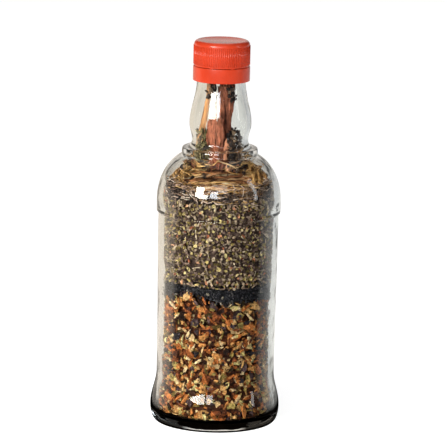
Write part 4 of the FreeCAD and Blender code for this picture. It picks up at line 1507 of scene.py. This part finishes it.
gold_stops = [(0.0, (0.12, 0.045, 0.018)), (0.5, (0.29, 0.125, 0.045)), (1.0, (0.48, 0.26, 0.11))]
golden = plant_material("golden_wood", gold_stops, fibre=2400.0, blotch=600.0, depth=0.8, squash=0.08,
                        roughness=0.5, lift=0.2 * mm, shine=0.4)
gold = tall_strip([(-12.5, -4.4, 138), (-12.0, -4.5, 144), (-10.0, -5.0, 155), (-8.6, -5.0, 163),
                   (-6.6, -4.6, 175), (-6.4, -4.4, 184)],
                  (2.4, 3.0, 3.8, 3.4, 2.2, 1.8), 0.9, 70, (-0.5, -1, 0), 505, 0.6)
strips_piece("golden_strip", [gold], golden, "golden_wood", "golden_twig")

# %% Low red pieces
red_low = []
rng = np.random.default_rng(74)
for number in range(16):
    x, y = rng.uniform(-13.5, 8.0), rng.uniform(-9.5, 3.0)
    low, tall = rng.uniform(136, 145), rng.uniform(4, 9)
    lean_x, lean_y = rng.uniform(-0.6, 0.6), rng.uniform(-0.3, 0.3)
    wide = rng.uniform(2.0, 4.6)
    places = [(x, y, low), (x + lean_x * tall / 2, y + lean_y * tall / 2, low + tall / 2),
              (x + lean_x * tall, y + lean_y * tall, low + tall)]
    red_low.append(tall_strip(places, (wide * 0.8, wide, wide * 0.6), rng.uniform(0.6, 1.3),
                              rng.uniform(40, 120), (rng.normal(0, 0.4), -1, 0.2), 520 + number,
                              rng.uniform(0.1, 0.9), rows=8, columns=7))
strips_piece("bark_red_low", red_low, red_bark, "red_bark", "bark_red_left", "bark_red_right")

# %% [markdown]
# ## Leafy bits heaped in the neck and the nest
#
# Dark leaf clings round the tall pieces, dark crumbs fill the throat and pale shreds and olive leaf
# are caught in the nest. The shreds' paleness is partly real and partly painted haze, standing in
# for the veil of reflection that the glass lays over the nest. A heap is a list of places drawn by
# chance round a middle or just inside the glass, with one of the small shapes at each. Scattering on
# a carrier would also do, but these heaps hang in the room between other pieces, where there is no
# surface to scatter on.

# %% Leafy bits
def strew(name, shapes, places, material, slot, nodes, sizes, seed_number):
    """Copies of the shapes at the places, each turned, scaled and tinted by chance, in one piece."""
    chance = np.random.default_rng(seed_number)
    meshes = [shape.data for shape in shapes.objects]
    parts = []
    for place in places:
        mesh = meshes[chance.integers(len(meshes))]
        turned = np.array(Euler(chance.uniform(-3.14, 3.14, 3)).to_matrix())
        points = read_points(mesh) @ turned.T * chance.uniform(*sizes) + np.array(place)
        faces = [face.vertices for face in mesh.polygons]
        parts.append((points, faces, {"tint": np.full(len(points), chance.uniform())}))
    piece = joined(name, parts, material, smooth=False)
    press_in(piece)
    hand_over(piece, slot, *nodes)


def heap(count, middle, spread, seed_number):
    """Places round a middle, in millimetres, none of them far out."""
    chance = np.random.default_rng(seed_number)
    return (np.array(middle) + np.clip(chance.normal(0, 0.5, (count, 3)), -0.9, 0.9) * np.array(spread)) * mm


# %% Leaf colours and heaps
dark_stops = [(0.0, (0.010, 0.009, 0.011)), (0.5, (0.034, 0.024, 0.020)), (0.8, (0.085, 0.054, 0.038)),
              (1.0, (0.17, 0.115, 0.075))]
dark_leaf_stops = [(0.0, (0.015, 0.012, 0.008)), (0.5, (0.07, 0.055, 0.028)), (0.8, (0.17, 0.14, 0.06)),
                   (1.0, (0.36, 0.30, 0.16))]
# the pale end is partly painted haze: the veil of reflection that the glass lays over the nest's outer fringe
pale_stops = [(0.0, (0.12, 0.060, 0.035)), (0.5, (0.52, 0.34, 0.21)), (1.0, (0.78, 0.60, 0.42))]
dark_bark = plant_material("dark_bark", dark_stops, fibre=1800.0, blotch=500.0, roughness=0.7)
dark_leaf = plant_material("dark_leaf", dark_leaf_stops, **leaf_grain)
pale_bits = plant_material("pale_shreds", pale_stops, **leaf_grain)

left_heap = heap(170, (-9.6, -5.0, 149.5), (3.6, 6.0, 9.0), 81)
right_heap = heap(170, (7.4, -5.0, 148.5), (3.6, 6.0, 9.5), 82)
throat_heap = np.vstack([
    heap(90, (-3.0, 2.0, 141.0), (18.0, 16.0, 9.0), 85),
    heap(60, (0.0, 3.0, 147.0), (9.0, 6.0, 12.0), 86),
])
head_heap = np.vstack([
    heap(34, (-5.0, -3.8, 178.0), (3.0, 2.6, 4.6), 88),
    heap(24, (5.8, -2.6, 177.0), (2.6, 3.0, 5.5), 94),
])
chance = np.random.default_rng(90)
nest_heap = []
for number in range(2200):
    height = chance.uniform(127, 143) * mm
    radius = dome_radius(height) - chance.uniform(0.2, 2.4) * mm
    side = to_back + chance.uniform(-1.3, 1.3)
    nest_heap.append((radius * math.cos(side), radius * math.sin(side), height))
front_heap = []
for number in range(520):
    radius = 27.6 * mm - chance.uniform(0.0, 3.5) * mm
    side = to_front + chance.uniform(-1.5, 1.5)
    x, y = radius * math.cos(side), radius * math.sin(side)
    front_heap.append((x, y, herb_level(x, y) + chance.uniform(-1.0, 4.0) * mm))

# %% Strew the heaps
strew("neck_leaf_left", crumb_leaf, left_heap, dark_leaf, "dark_bark", ["bark_dark_left"], (0.9, 1.7), 83)
strew("neck_leaf_right", crumb_leaf, right_heap, dark_bark, "dark_bark", ["bark_dark_right"], (0.9, 1.7), 84)
strew("neck_crumbs", crumb_chip, throat_heap, dark_bark, "dark_bark", [], (0.9, 2.0), 87)
strew("nest_bits", crumb_leaf, nest_heap[:1000], pale_bits, "vine", [], (0.8, 1.8), 91)
strew("nest_leaf", crumb_leaf, nest_heap[1900:], olive_bits, "vine", [], (0.8, 1.8), 92)
strew("nest_dark", crumb_chip, front_heap, dark_bark, "dark_bark", [], (0.8, 1.6), 93)
strew("neck_dark_head", chunks, head_heap, dark_bark, "dark_bark", ["bark_dark_head", "bark_dark_knob"],
      (0.35, 0.6), 89)

# %% [markdown]
# ## Curly rootlets
#
# Fine dry rootlets curl against the glass in front of the coil. They are strands like the vine,
# but short, thin and curled much more, from nearly black to pale.

# %% Rootlets
rootlet_stops = [(0.0, (0.012, 0.010, 0.012)), (0.35, (0.10, 0.058, 0.045)), (0.65, (0.30, 0.18, 0.125)),
                 (1.0, (0.66, 0.53, 0.44))]
rootlet_bark = plant_material("rootlet", rootlet_stops, fibre=1500.0, blotch=700.0, squash=0.8, roughness=0.5,
                              shine=0.4, dark=0.2, light=1.9)
rng = np.random.default_rng(95)
paths = []
for number in range(190):
    side = to_front + rng.uniform(-1.35, 1.35)
    reach = 27.8 * mm - rng.uniform(0.0, 3.0) * mm
    x, y = reach * math.cos(side), reach * math.sin(side)
    start = (x, y, herb_level(x, y) + rng.uniform(0.5, 7.5) * mm)
    path = loose_path(start, side + rng.choice((-1.0, 1.0)) * rng.uniform(1.1, 2.0), rng.uniform(5, 14) * mm,
                      rng.uniform(1.0, 2.4), 700 + number, climb=1.2)
    paths.append(tapered(path, rng.uniform(0.12, 0.30), rng.uniform(0.0, 1.0) ** 0.8))
strand_piece("rootlets", paths, rootlet_bark, 6)
